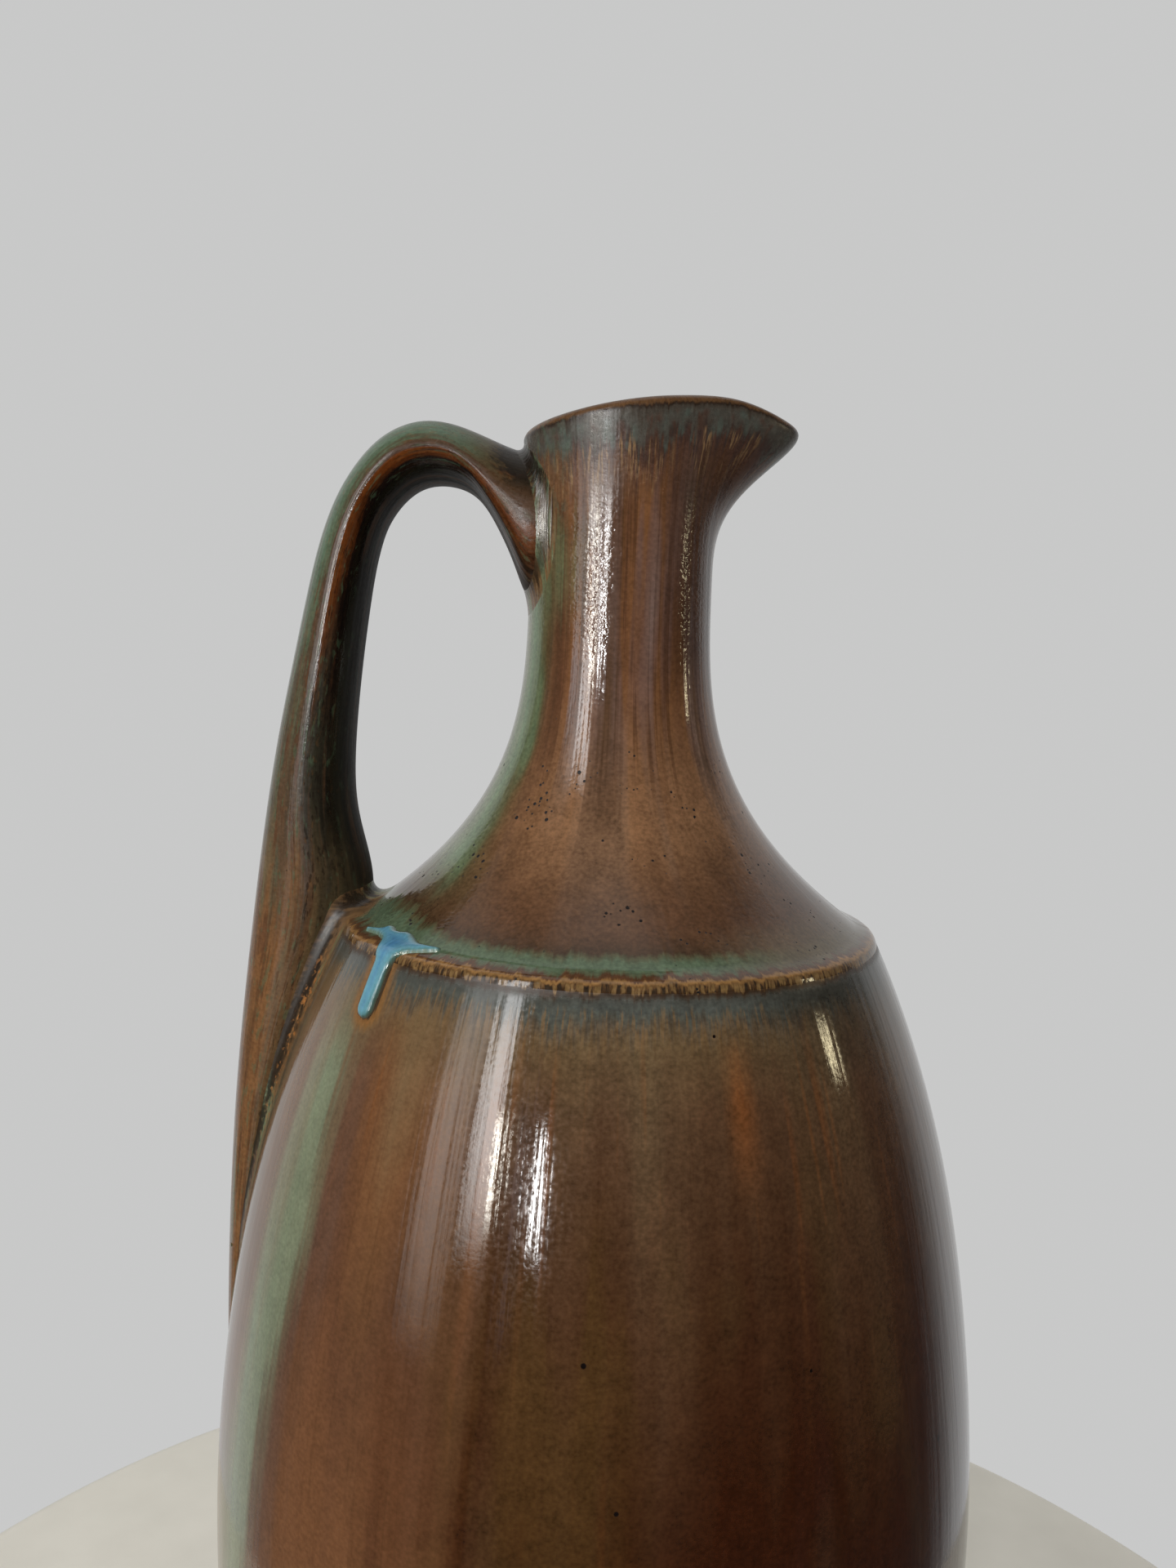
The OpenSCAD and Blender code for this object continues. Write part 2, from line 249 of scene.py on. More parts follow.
# Body
# The ovoid belly, thrown in one piece with its floor and closed in to a level seat for the neck.
# Stoneware under a thick coat of running brown glaze, which stands in the groove above the ridge and
# feathers below it.
body_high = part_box("body")[1]
neck_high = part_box("neck")[1]
belly_r = body_high[0]
belly_z = 0.127
belly_half = 0.163
body_wall = 0.0055
body_floor = 0.008
heel_r = 0.003
foot_overhang = 0.0044
shoulder_z = body_high[2]
lip_z = neck_high[2]
lower_half = (belly_z - foot_h) / math.sqrt(1 - ((foot_r + foot_overhang) / belly_r) ** 2)
ridge_rise = 0.002
ridge_w = 0.004
flare_rise = 0.0028
flare_power = 3
waist_r = 0.0189
glaze_softness = 0.0005
seat_gap = 0.0002
centre_r = 0.002
floor_step = 0.004
joint_margin = 0.00002


def belly_line(z, inset=0.0):
    """Radius of the belly at a height: an ellipse above the widest place, one below, both less the inset."""
    half = np.where(z > belly_z, belly_half, lower_half) - inset
    return (belly_r - inset) * np.sqrt(1 - ((z - belly_z) / half) ** 2)


def flare_line(z):
    """Radius of shoulder and neck at a height: the waist plus a power of the way down from the lip joint."""
    share = (lip_z - z) / (lip_z - shoulder_z - flare_rise)
    return waist_r + (ridge_r - ridge_w - waist_r) * share ** flare_power


def lengths(line):
    """Length along a line up to each of its points."""
    return np.concatenate([[0], np.cumsum(np.linalg.norm(np.diff(line, axis=0), axis=1))])


def evened(points, bell):
    """Rows of numbers averaged along by the weights of a bell. Point reflection carries on both ends."""
    reach = len(bell) // 2
    start = 2 * points[0] - points[reach:0:-1]
    end = 2 * points[-1] - points[-2:-reach - 2:-1]
    padded = np.concatenate([start, points, end])
    return np.stack([np.convolve(column, bell / bell.sum(), mode="valid") for column in padded.T], axis=1)


def soften(line, step, spread):
    """The line at an even step, its corners rounded by a bell-shaped average, as thick glaze rounds them."""
    length = lengths(line)
    even = np.linspace(0, length[-1], int(length[-1] / step))
    reach = int(4 * spread / step)
    bell = np.exp(-0.5 * (np.arange(-reach, reach + 1) * step / spread) ** 2)
    return evened(read_off(even, length, line), bell)


def spaced(line, coarse, fine, fine_z, reach):
    """Points picked along a line: coarse steps, drawn closer to fine steps near one height."""
    density = 1 / coarse + (1 / fine - 1 / coarse) * np.exp(-((line[:, 1] - fine_z) / reach) ** 2)
    count = np.concatenate([[0], np.cumsum(np.diff(lengths(line)) * (density[1:] + density[:-1]) / 2)])
    return read_off(np.linspace(0, count[-1], int(count[-1]) + 1), count, line)


ridge_r = float(belly_line(shoulder_z))
heel_z = foot_h + heel_r
wall_z = np.linspace(heel_z, shoulder_z, num=2000)
neck_z = np.linspace(shoulder_z + flare_rise, lip_z, num=800)
outside = soften(np.concatenate([
    np.stack([belly_line(wall_z), wall_z], axis=1),
    arc(ridge_r - ridge_rise, shoulder_z, ridge_rise, 2, 80, 20),
    np.stack([flare_line(neck_z), neck_z], axis=1),
]), step=0.0001, spread=glaze_softness)
joint = np.array([[np.interp(shoulder_z, outside[:, 1], outside[:, 0]), shoulder_z]])
body_outside = np.concatenate([outside[outside[:, 1] < shoulder_z - joint_margin], joint])
floor_z = foot_h + body_floor
inner_z = np.linspace(shoulder_z, floor_z + heel_r, num=70)
inner_heel = float(belly_line(floor_z + heel_r, body_wall))
groove_in, groove_out = foot_in + foot_edge - seat_gap, foot_r - foot_edge + seat_gap
groove_z = foot_h + foot_seat + seat_gap
body_line = np.concatenate([
    fill_line([[centre_r, foot_h], [groove_in, foot_h], [groove_in, groove_z],
               [groove_out, groove_z], [groove_out, foot_h]], floor_step),
    arc(belly_line(heel_z) - heel_r, heel_z, heel_r, -90, -8, 9),
    spaced(body_outside, coarse=0.0014, fine=0.0003, fine_z=shoulder_z, reach=0.006),
    np.stack([belly_line(inner_z, body_wall), inner_z], axis=1),
    fill_line([[inner_heel - heel_r, floor_z], [centre_r, floor_z]], floor_step),
])
body = skin("body_visual", turned(body_line), tips=[[0, 0, foot_h], [0, 0, floor_z]])


def group_of(name, inputs, outputs):
    """An empty node group with named sockets: returns the group, the sockets it reads, the node it fills."""
    kinds = {"Flow": "Vector", "Grain": "Vector", "Under": "Color", "Color": "Color"}
    group = bpy.data.node_groups.new(name, "ShaderNodeTree")
    for way, labels in (("INPUT", inputs), ("OUTPUT", outputs)):
        for label in labels:
            kind = "NodeSocket" + kinds.get(label, "Float")
            group.interface.new_socket(label, in_out=way, socket_type=kind)
    return group, group.nodes.new("NodeGroupInput").outputs[:len(inputs)], group.nodes.new("NodeGroupOutput")


def placed(tree, group, **plugs):
    """A group placed in a material, with its inputs plugged by name: returns its outputs."""
    return add(tree, "Group", plugs, node_tree=group).outputs


# Place on the pot, in millimetres: the flow unrolls the wall so that runs of glaze stay upright on it.
mm = 1000.0
flow_r = 70.0
axis_r = 1e-4
pot_place, _, filled = group_of("pot_place", [], ["Flow", "Grain", "Turn", "Height"])
here = add(pot_place, "TexCoord").outputs["Object"]
axes = add(pot_place, "SeparateXYZ", {0: here}).outputs
out_r = calc("SQRT", calc("ADD", times(axes[0], axes[0]), times(axes[1], axes[1])))
unrolled = [times(calc("DIVIDE", axes[k], calc("MAXIMUM", out_r, axis_r)), flow_r) for k in (0, 1)]
up_mm = times(axes[2], mm)
plug(filled, {
    "Flow": add(pot_place, "CombineXYZ", {0: unrolled[0], 1: unrolled[1], 2: up_mm}).outputs[0],
    "Grain": add(pot_place, "VectorMath", {0: here, "Scale": mm}, operation="SCALE").outputs[0],
    "Turn": calc("DEGREES", calc("ARCTAN2", axes[1], axes[0])),
    "Height": up_mm,
})

# Runs of glaze: noise drawn out along the flow, from 0 to 1.
glaze_runs, (flow, width, length, shift), filled = group_of(
    "glaze_runs", ["Flow", "Width", "Length", "Shift"], ["Runs"])
parts = add(glaze_runs, "SeparateXYZ", {0: flow}).outputs
drawn = add(glaze_runs, "CombineXYZ", {
    0: calc("ADD", calc("DIVIDE", parts[0], width), shift),
    1: calc("DIVIDE", parts[1], width),
    2: calc("DIVIDE", parts[2], length),
}).outputs[0]
noise = grain(drawn, 1.0, 2.0, 0.55)
runs = add(glaze_runs, "MapRange", {"Value": noise, "From Min": 0.28, "From Max": 0.72}).outputs[0]
plug(filled, {"Runs": runs})


def runs_on(flow, width, length, shift):
    """Runs of glaze along a flow, about so wide and long; the shift keeps two sets of runs from agreeing."""
    return placed(flow.id_data, glaze_runs, Flow=flow, Width=width, Length=length, Shift=shift)["Runs"]


# Skin of the glaze: a leathery mottle and tiny pits in clusters, with the relief of both and of the runs.
glaze_skin, (place, runs, pitted, mottled, peel_mm, under), filled = group_of(
    "glaze_skin", ["Grain", "Runs", "Pitted", "Mottled", "Peel", "Under"], ["Color", "Relief", "Gloss"])
flat_grain = add(glaze_skin, "VectorMath", {0: place, 1: (1, 1, 1.15)}, operation="MULTIPLY").outputs[0]
peel = grain(flat_grain, 0.8, 1.5, 0.5)
cloud = grain(place, 4.5, 3.0, 0.6)
cells = add(glaze_skin, "TexVoronoi", {"Vector": place, "Scale": 0.85, "Randomness": 1.0}).outputs
chance = add(glaze_skin, "SeparateColor", {0: cells["Color"]}).outputs[0]
cluster = fade(grain(place, 9, 2), 0.46, 0.7)
pit_r = times(cluster, pitted, chance, 0.14)
pits = fade(calc("SUBTRACT", pit_r, cells["Distance"]), 0, 0.03)
swing = calc("ADD", times(calc("SUBTRACT", peel, 0.5), 1.3), calc("SUBTRACT", cloud, 0.5))
shade = calc("ADD", times(swing, mottled), 1)
mottle = add(glaze_skin, "CombineColor", {0: shade, 1: shade, 2: shade}).outputs[0]
color = coat(1, under, mottle, "MULTIPLY")
relief = calc("ADD", times(peel, peel_mm), times(runs, 0.05))
relief = calc("ADD", relief, times(cloud, 0.022))
gloss = calc("ADD", fade(peel, 0.3, 0.75, 0.06, 0.13), fade(runs, 0.5, 1, 0, 0.1))
plug(filled, {
    "Color": washed(color, ((20, 14, 12), pits)),
    "Relief": calc("SUBTRACT", relief, times(pits, 0.08)),
    "Gloss": calc("ADD", gloss, times(pits, 0.5)),
})


def glazed(shader, dulled=0.0, **plugs):
    """Plugs a skin of glaze into a shader: its colour, its roughness and what dulls it, its relief in mm."""
    glaze = placed(shader.id_data, glaze_skin, **plugs)
    bump = add(shader.id_data, "Bump", {"Height": glaze["Relief"], "Distance": 0.001}).outputs["Normal"]
    rough = calc("ADD", glaze["Gloss"], dulled)
    plug(shader, {"Base Color": glaze["Color"], "Roughness": rough, "Normal": bump})


def swayed(value, *sways):
    """A value moved up and down by runs, each about its middle and by its reach."""
    for runs, reach in sways:
        value = calc("ADD", value, times(calc("SUBTRACT", runs, 0.5), reach))
    return value


def apart(value, middle):
    """How far a value is from a middle, to either side."""
    return calc("ABSOLUTE", calc("SUBTRACT", value, middle))


def from_handle(turn):
    """Degrees round the pot from the middle of the handle, to either side."""
    return calc("SUBTRACT", 180.0, calc("ABSOLUTE", turn))


# Bands at the ridge, from below: a fringe, slate, dark hairs, an ochre line on the crest, a green groove.
ridge_bands, (flow, turn, height, under), filled = group_of(
    "ridge_bands", ["Flow", "Turn", "Height", "Under"], ["Color"])
hairs = runs_on(flow, 0.55, 6, 3)
fingers = runs_on(flow, 1.8, 24, 11)
tongues = runs_on(flow, 9, 60, 21)
waves = runs_on(flow, 3.2, 60, 17)
teeth = runs_on(flow, 0.8, 3, 27)
blotch = runs_on(flow, 2.4, 1.6, 31)
flecks = runs_on(flow, 0.8, 5, 37)
drawn_out = fade(from_handle(turn), 28, 62, 0.45, 1)
above = calc("MAXIMUM", calc("SUBTRACT", height, 246.3), 0)
level = calc("SUBTRACT", height, times(above, calc("SUBTRACT", 1, drawn_out)))
level = swayed(level, (hairs, fade(height, 237.5, 244.6, 3, 0.3)),
               (fingers, fade(height, 238, 243.6, 2.6, 0.45)), (tongues, fade(height, 238, 244.2, 3.2, 0.5)),
               (waves, 0.7), (blotch, fade(height, 245.8, 247, 0.1, 0.4)))
band, cover = layers(level, 226, 254, [
    (226, (94, 74, 50), 0), (231, (92, 72, 48), 0.35), (235.5, (92, 75, 51), 0.6),
    (237.6, (90, 76, 57), 0.75), (239, (80, 72, 60), 0.85), (240.2, (72, 72, 64), 0.95),
    (241.4, (70, 73, 68), 1), (242.8, (66, 66, 60), 1), (243.4, (58, 48, 38), 1), (243.8, (50, 34, 21), 1),
    (244.2, (60, 41, 25), 1), (244.6, (82, 60, 38), 1), (245.2, (98, 71, 43), 1), (245.45, (128, 95, 56), 1),
    (245.7, (126, 93, 56), 1), (245.9, (84, 56, 35), 1), (246.2, (78, 53, 36), 1), (246.5, (80, 84, 62), 1),
    (246.9, (77, 92, 71), 1), (247.8, (76, 89, 68), 1), (248.5, (74, 72, 50), 1), (249.1, (64, 46, 30), 1),
    (250.4, (72, 50, 33), 0.8), (252.8, (84, 58, 39), 0)])
in_teeth = times(fade(level, 243.6, 244.2), fade(level, 245.3, 245))
in_fringe = times(fade(level, 233, 238), fade(level, 242.4, 240.4))
far_side = fade(apart(turn, -10), 36, 64, 0.85, 0)
# Washes: pale and dark teeth under the crest, ochre and dark flecks in the fringe, a plainer far side with
# its slate darkened as painted shade.
band = washed(
    band,
    ((108, 84, 52), in_teeth, fade(teeth, 0.45, 0.62)),
    ((48, 38, 28), in_teeth, fade(teeth, 0.4, 0.2)),
    ((116, 88, 53), in_fringe, fade(flecks, 0.58, 0.78, 0, 0.45)),
    ((56, 50, 41), in_fringe, fade(flecks, 0.4, 0.2, 0, 0.45)),
    ((86, 69, 50), far_side, fade(level, 246.2, 246.6)),
    ((44, 40, 32), far_side, fade(level, 243.4, 242.4, 0, 0.85)),
)
plug(filled, {"Color": coat(cover, under, band)})

body_glaze, tree, shader = finish_material("body_glaze")
flow, place, turn, height = placed(tree, pot_place).values()
broad = runs_on(flow, 12, 160, 1)
narrow = runs_on(flow, 3, 90, 5)
fine = runs_on(flow, 0.9, 34, 8)
patches = runs_on(flow, 16, 45, 14)
upright = swayed(height, (broad, 45), (narrow, 10))
# The beak side, turned away from the window, is the glaze's darker brown painted darker still as shade, most
# of all low down.
lip_side_and_shade = shades(upright, 20, 260, [
    (20, (50, 22, 9)), (130, (47, 20, 7)), (165, (49, 22, 8)), (192, (62, 38, 22)), (222, (77, 55, 37)),
    (250, (86, 68, 47))])
handle_side = shades(upright, 20, 260, [
    (20, (86, 56, 35)), (100, (103, 69, 44)), (150, (103, 69, 44)), (190, (88, 59, 40)), (222, (101, 69, 44)),
    (250, (108, 85, 59))])
turned_away = swayed(calc("ABSOLUTE", turn), (broad, 16), (narrow, 8))
ragged_turn = swayed(turn, (patches, 10), (narrow, 5))
rust = times(fade(narrow, 0.72, 0.98), fade(height, 190, 228, 0.05, 0.25))
core = times(fade(apart(turn, -70), 3.6, 0), fade(height, 208, 230), fade(height, 239, 234))
# Washes: olive patches and an olive pool on the front, rust, mauve, dark hairs.
color = washed(
    coat(fade(turned_away, 95, 127), lip_side_and_shade, handle_side),
    ((74, 58, 32), fade(patches, 0.55, 0.9), fade(turned_away, 98, 116, 0.2, 0.1)),
    ((78, 58, 30), fade(apart(ragged_turn, -98), 15, 4, 0, 0.45), fade(upright, 206, 188)),
    ((130, 72, 28), calc("MAXIMUM", rust, times(core, 0.45))),
    ((76, 52, 45), fade(broad, 0.42, 0.05), 0.12),
    ((50, 30, 18), fade(fine, 0.66, 0.95), 0.14),
)
side = calc("SUBTRACT", from_handle(turn), fade(height, 135, 205, 0, 7))
side = swayed(side, (narrow, 4), (patches, 3))
stripe, cover = layers(side, 0, 70, [
    (0, (88, 88, 70), 0.8), (12, (98, 86, 68), 0.6), (21, (106, 86, 68), 0.35), (26.5, (112, 112, 89), 0.75),
    (30.5, (109, 121, 96), 0.85), (34, (107, 118, 95), 0.8), (36.5, (90, 88, 70), 0.6),
    (39, (82, 64, 54), 0.5), (45, (90, 61, 43), 0)])
color = coat(times(cover, fade(height, 240, 222, 0.5, 1)), color, stripe)
color = placed(tree, ridge_bands, Flow=flow, Turn=turn, Height=height, Under=color)["Color"]

# Ring of ochre round the hanging drip, by the distance from its line in millimetres.
drip_turn, drip_end = -138.3, 236.6
off_line = times(calc("SUBTRACT", turn, drip_turn), math.radians(mm * ridge_r))
past_end = calc("MAXIMUM", calc("SUBTRACT", drip_end, height), 0)
off_drip = calc("SQRT", calc("ADD", times(off_line, off_line), times(past_end, past_end)))
ring, cover = layers(swayed(off_drip, (fine, 0.8)), 0, 6, [
    (0, (50, 40, 30), 1), (2.5, (54, 42, 30), 1), (2.9, (116, 80, 43), 0.95), (3.7, (120, 84, 44), 0.75),
    (5.4, (100, 76, 48), 0)])
color = coat(times(cover, fade(height, 245.6, 244.6)), color, ring)

# Single pits: the turn in degrees, the height and the radius of each.
here = add(tree, "TexCoord").outputs["Object"]
for pit_turn, z, r in (
    (-92.6, 0.190, 0.0006), (-38, 0.163, 0.0007), (-101, 0.158, 0.0004), (-63, 0.186, 0.00035),
    (-73.2, 0.2375, 0.0004), (-88.2, 0.1685, 0.0005), (58, 0.14, 0.0006), (117, 0.2, 0.0005),
):
    pit = polar(belly_line(z), math.radians(pit_turn), z).tolist()
    away = add(tree, "VectorMath", {0: here, 1: pit}, operation="DISTANCE").outputs["Value"]
    color = washed(color, ((16, 11, 10), fade(away, r, 0.5 * r)))
ripple = calc("ADD", times(runs_on(flow, 3, 70, 23), 0.6), times(fine, 0.12))
glazed(shader, fade(height, 242, 243.6, 0, 0.25), Grain=place, Runs=ripple, Pitted=0.5,
       Mottled=fade(turned_away, 96, 118, 0.8, 0.45), Peel=0.010, Under=color)
body.data.materials.append(body_glaze)
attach(body, "root")
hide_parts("body")

# Neck
# Shoulder and neck, thrown as one flare and luted on with a spigot inside the body; its edge makes the ridge.
# The glaze runs down it in streaks of brown, mauve and olive, and is green on the side of the handle.
neck_wall = 0.0045
spigot_h = 0.005
spigot_wall = 0.004
lip_seat_w = 0.001
inside_margin = 0.0003
inside_every = 10
spigot_step = 0.002
spigot_r = float(belly_line(shoulder_z, body_wall)) - seat_gap
spigot_in = spigot_r - spigot_wall
waist_in = waist_r - neck_wall
slope = np.gradient(flare_line(neck_z), neck_z)
lean = np.sqrt(1 + slope ** 2)
neck_inner = np.stack([flare_line(neck_z) - neck_wall / lean, neck_z + neck_wall * slope / lean], axis=1)
neck_inner = neck_inner[(neck_inner[:, 0] < spigot_in) & (neck_inner[:, 1] < lip_z - inside_margin)]
neck_inner = neck_inner[::-inside_every]
neck_outside = np.concatenate([joint, outside[outside[:, 1] > shoulder_z + joint_margin]])
neck_line = np.concatenate([
    spaced(neck_outside, coarse=0.0008, fine=0.0003, fine_z=shoulder_z, reach=0.008),
    [[waist_r - lip_seat_w, lip_z], [waist_in, lip_z]],
    neck_inner,
    fill_line([[spigot_in, shoulder_z - spigot_h], [spigot_r, shoulder_z - spigot_h], [spigot_r, shoulder_z]],
              spigot_step),
    [[ridge_r - ridge_rise, shoulder_z]],
])
neck = skin("neck_visual", turned(neck_line))

# Streaks of neck and lip: brown, tan and mauve by runs that fan out over the shoulder, green by the handle.
neck_streaks, (flow, turn, height), filled = group_of("neck_streaks", ["Flow", "Turn", "Height"], ["Color"])
wide = runs_on(flow, 36, 150, 2)
thin = runs_on(flow, 15, 90, 6)
patches = runs_on(flow, 26, 30, 9)
lines = runs_on(flow, 5, 45, 15)
blend = calc("ADD", times(wide, 0.55), times(thin, 0.45))
high = shades(blend, 0.1, 0.9, [
    (0.1, (50, 30, 20)), (0.3, (72, 45, 30)), (0.42, (96, 64, 42)), (0.5, (106, 71, 44)),
    (0.58, (100, 73, 60)), (0.7, (106, 86, 78)), (0.9, (84, 60, 38))])
low = shades(blend, 0.1, 0.9, [
    (0.1, (104, 74, 51)), (0.35, (114, 82, 56)), (0.5, (119, 87, 61)), (0.62, (116, 88, 66)),
    (0.9, (112, 86, 64))])
threads = runs_on(flow, 2.4, 60, 20)
toward_lip = swayed(calc("ABSOLUTE", turn), (wide, 20), (thin, 16))
trough = swayed(apart(turn, -95), (lines, 6))
# Washes: brown over the ridge, under the beak and below it, the last two partly painted shade on the side
# away from the window; patches, dark lines, threads and a trough.
color = washed(
    coat(fade(height, 298, 266), high, low),
    ((68, 44, 28), fade(height, 268, 252, 0, 0.75)),
    ((50, 31, 22), fade(toward_lip, 78, 50, 0, 0.65), fade(height, 288, 306)),
    ((64, 42, 28), fade(toward_lip, 88, 50, 0, 0.4), fade(height, 274, 258)),
    ((84, 54, 36), fade(patches, 0.5, 0.85), 0.2),
    ((52, 32, 21), fade(lines, 0.6, 0.85), fade(height, 264, 290, 0, 0.5)),
    ((56, 36, 24), fade(threads, 0.6, 0.85), fade(height, 264, 290, 0, 0.4)),
    ((64, 42, 24), fade(trough, 9, 3, 0, 0.55), fade(height, 256, 274)),
)
by_handle = swayed(from_handle(turn), (patches, 16), (thin, 7))
green, cover = layers(by_handle, 0, 80, [
    (0, (106, 104, 88), 1), (12, (110, 113, 93), 1), (24, (95, 113, 87), 0.95), (33, (81, 96, 70), 0.85),
    (40, (78, 68, 45), 0.75), (48, (80, 58, 38), 0.45), (62, (96, 66, 44), 0)])
color = coat(cover, color, green)
ragged = swayed(height, (patches, 24), (thin, 18), (lines, 12))
patch = times(fade(by_handle, 72, 52), fade(ragged, 298, 316), fade(ragged, 336, 322))
plug(filled, {"Color": washed(color, ((88, 94, 66), patch, fade(threads, 0.2, 0.6, 0.75, 0.3)))})

neck_glaze, tree, shader = finish_material("neck_glaze")
flow, place, turn, height = placed(tree, pot_place).values()
narrow = runs_on(flow, 7, 90, 6)
color = placed(tree, neck_streaks, Flow=flow, Turn=turn, Height=height)["Color"]
color = placed(tree, ridge_bands, Flow=flow, Turn=turn, Height=height, Under=color)["Color"]
glazed(shader, Grain=place, Runs=narrow, Pitted=fade(height, 290, 274, 1, 2.8),
       Mottled=fade(height, 290, 270, 0.55, 0.8), Peel=fade(height, 296, 308, 0.022, 0.075), Under=color)
neck.data.materials.append(neck_glaze)
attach(neck, "root")
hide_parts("neck")

# Pouring lip
# The top of the neck, pulled out between finger and thumb into a beak while the clay was soft.
# Its rim is rounded and slate coloured where the glaze has run thin, with brown streaks hanging from it.
lip_h = 0.0375
rim_z = lip_z + lip_h
rim_r = 0.021
beak_r = 0.0368
rim_back_dip = 0.0065
rim_beak_dip = 0.0033
beak_round = 9.0
lip_wall = 0.0036
beak_wall = 0.005
lip_power = 1.9
nose_row, nose_rows = 66, 14
nose_spread = 40
nose_rounds = 26


def lip_curve(z):
    """Share of the way from the waist to the rim's plan: an eased power of the height over the lip joint."""
    share = np.clip((z - lip_z) / (rim_z - rim_beak_dip - lip_z), 0, 1) ** lip_power
    return share * share * (3 - 2 * share)


def rim_plan(degrees, r, beak):
    """Plan of the rim: a circle, with straight tangents to a rounded beak at angle 0."""
    away = np.sqrt(degrees ** 2 + beak_round ** 2) - beak_round
    reach = np.degrees(np.arccos(r / beak))
    return np.where(away < reach, r / np.cos(np.radians(np.maximum(reach - away, 0))), r)


def lip_outside(degrees, z):
    """Outer radius of the lip at an angle from the beak and a height."""
    return waist_r + (rim_plan(degrees, rim_r, beak_r) - waist_r) * lip_curve(z)


def lip_inside(degrees, z):
    """Inner radius of the lip at an angle from the beak and a height."""
    return waist_in + (rim_plan(degrees, rim_r - lip_wall, beak_r - beak_wall) - waist_in) * lip_curve(z)


degrees = np.degrees(np.minimum(full_turn, 2 * np.pi - full_turn))
rim_half = (lip_outside(degrees, rim_z) - lip_inside(degrees, rim_z)) / 2
rim_top = (rim_z - rim_back_dip * (1 - np.cos(full_turn)) / 2
           - rim_beak_dip * np.exp(-((degrees / (2 * beak_round)) ** 2)))
edge_z = rim_top - rim_half
up = np.linspace(0, 1, num=60)[:, None]
bend = np.linspace(0, np.pi, num=26)[1:-1, None]
out_z = lip_z + up * (edge_z - lip_z)
in_z = out_z[::-1]
edge_out, edge_in = lip_outside(degrees, edge_z), lip_inside(degrees, edge_z)
lip_rr = np.concatenate([
    lip_outside(degrees, out_z),
    (edge_out + edge_in) / 2 + (edge_out - edge_in) / 2 * np.cos(bend),
    lip_inside(degrees, in_z),
])
lip_zz = np.concatenate([out_z, edge_z + rim_half * np.sin(bend), in_z])
rows_off = (np.arange(len(lip_rr))[1:-1, None] - nose_row) / nose_rows
nose = np.exp(-((degrees / nose_spread) ** 2)) * np.exp(-(rows_off ** 2))
for _ in range(nose_rounds):
    for line in (lip_rr, lip_zz):
        line[1:-1] += nose * (line[2:] + line[:-2] - 2 * line[1:-1]) / 4
lip_rr = lip_rr + hand_wobble(full_turn, lip_zz)
below_rim = mm * (rim_top - lip_zz)
inner_side = np.concatenate([0 * out_z, 0.5 - 0.5 * np.cos(bend) + 0 * edge_z, 1 + 0 * in_z])
lip_rows = polar(lip_rr, full_turn, lip_zz)
lip = skin("pouring_lip_visual", lip_rows, below_rim=below_rim, inner_side=inner_side)


def mark(tree, label):
    """A number that the mesh keeps at every point."""
    return add(tree, "Attribute", attribute_name=label).outputs["Fac"]


lip_glaze, tree, shader = finish_material("lip_glaze")
flow, place, turn, height = placed(tree, pot_place).values()
narrow = runs_on(flow, 7, 90, 6)
hairs = runs_on(flow, 1.3, 8, 3)
tongues = runs_on(flow, 12, 40, 12)
blotch = runs_on(flow, 6, 3, 19)
color = placed(tree, neck_streaks, Flow=flow, Turn=turn, Height=height)["Color"]
below = mark(tree, "below_rim")
inner = mark(tree, "inner_side")
drop = swayed(below, (hairs, fade(below, 1, 9, 0.3, 6)), (tongues, fade(below, 1, 8, 0.4, 5)),
              (blotch, fade(below, 0.5, 5, 0.3, 1.6)))
band, cover = layers(drop, 0, 20, [
    (0, (84, 58, 36), 1), (1.2, (88, 62, 38), 1), (1.7, (42, 31, 24), 1), (2.3, (64, 57, 49), 1),
    (3.6, (73, 70, 63), 1), (6.2, (68, 63, 56), 1), (7.6, (58, 47, 43), 0.95), (9.4, (64, 48, 43), 0.85),
    (12, (78, 55, 45), 0.5), (17, (92, 64, 44), 0)])
cloudy = runs_on(flow, 9, 6, 33)
dashes = runs_on(flow, 1.6, 6, 25)
tufts = runs_on(flow, 15, 40, 29)
in_band = times(fade(drop, 2.4, 4), fade(drop, 11, 8))
in_tufts = times(fade(drop, 6.5, 9), fade(drop, 17, 11))
by_handle = swayed(from_handle(turn), (tongues, 30), (blotch, 24))
band = washed(
    band,
    ((70, 48, 38), in_band, fade(cloudy, 0.5, 0.85, 0, 0.75)),
    ((74, 82, 74), in_band, fade(cloudy, 0.45, 0.1, 0, 0.7)),
)
# Washes: brown on the rim, tan tufts below the band, green and tan spots by the handle, the green inside.
color = washed(
    coat(cover, color, band),
    ((72, 48, 30), fade(dashes, 0.5, 0.8, 0, 0.6), fade(below, 2, 1.2)),
    ((132, 104, 72), fade(dashes, 0.55, 0.8), in_tufts, fade(tufts, 0.3, 0.7), 0.8),
    ((76, 96, 78), fade(by_handle, 66, 42), fade(blotch, 0.5, 0.85), 0.3),
    ((102, 72, 44), fade(by_handle, 62, 44), fade(drop, 5, 8), fade(drop, 18, 13), 0.5),
    ((78, 92, 72), fade(inner, 0.6, 0.8)),
)
glazed(shader, fade(height, 324, 336, 0, 0.18), Grain=place, Runs=narrow, Pitted=0.9, Mottled=0.55,
       Peel=fade(height, 318, 334, 0.075, 0.03), Under=color)
lip.data.materials.append(lip_glaze)
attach(lip, "root")
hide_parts("pouring_lip")

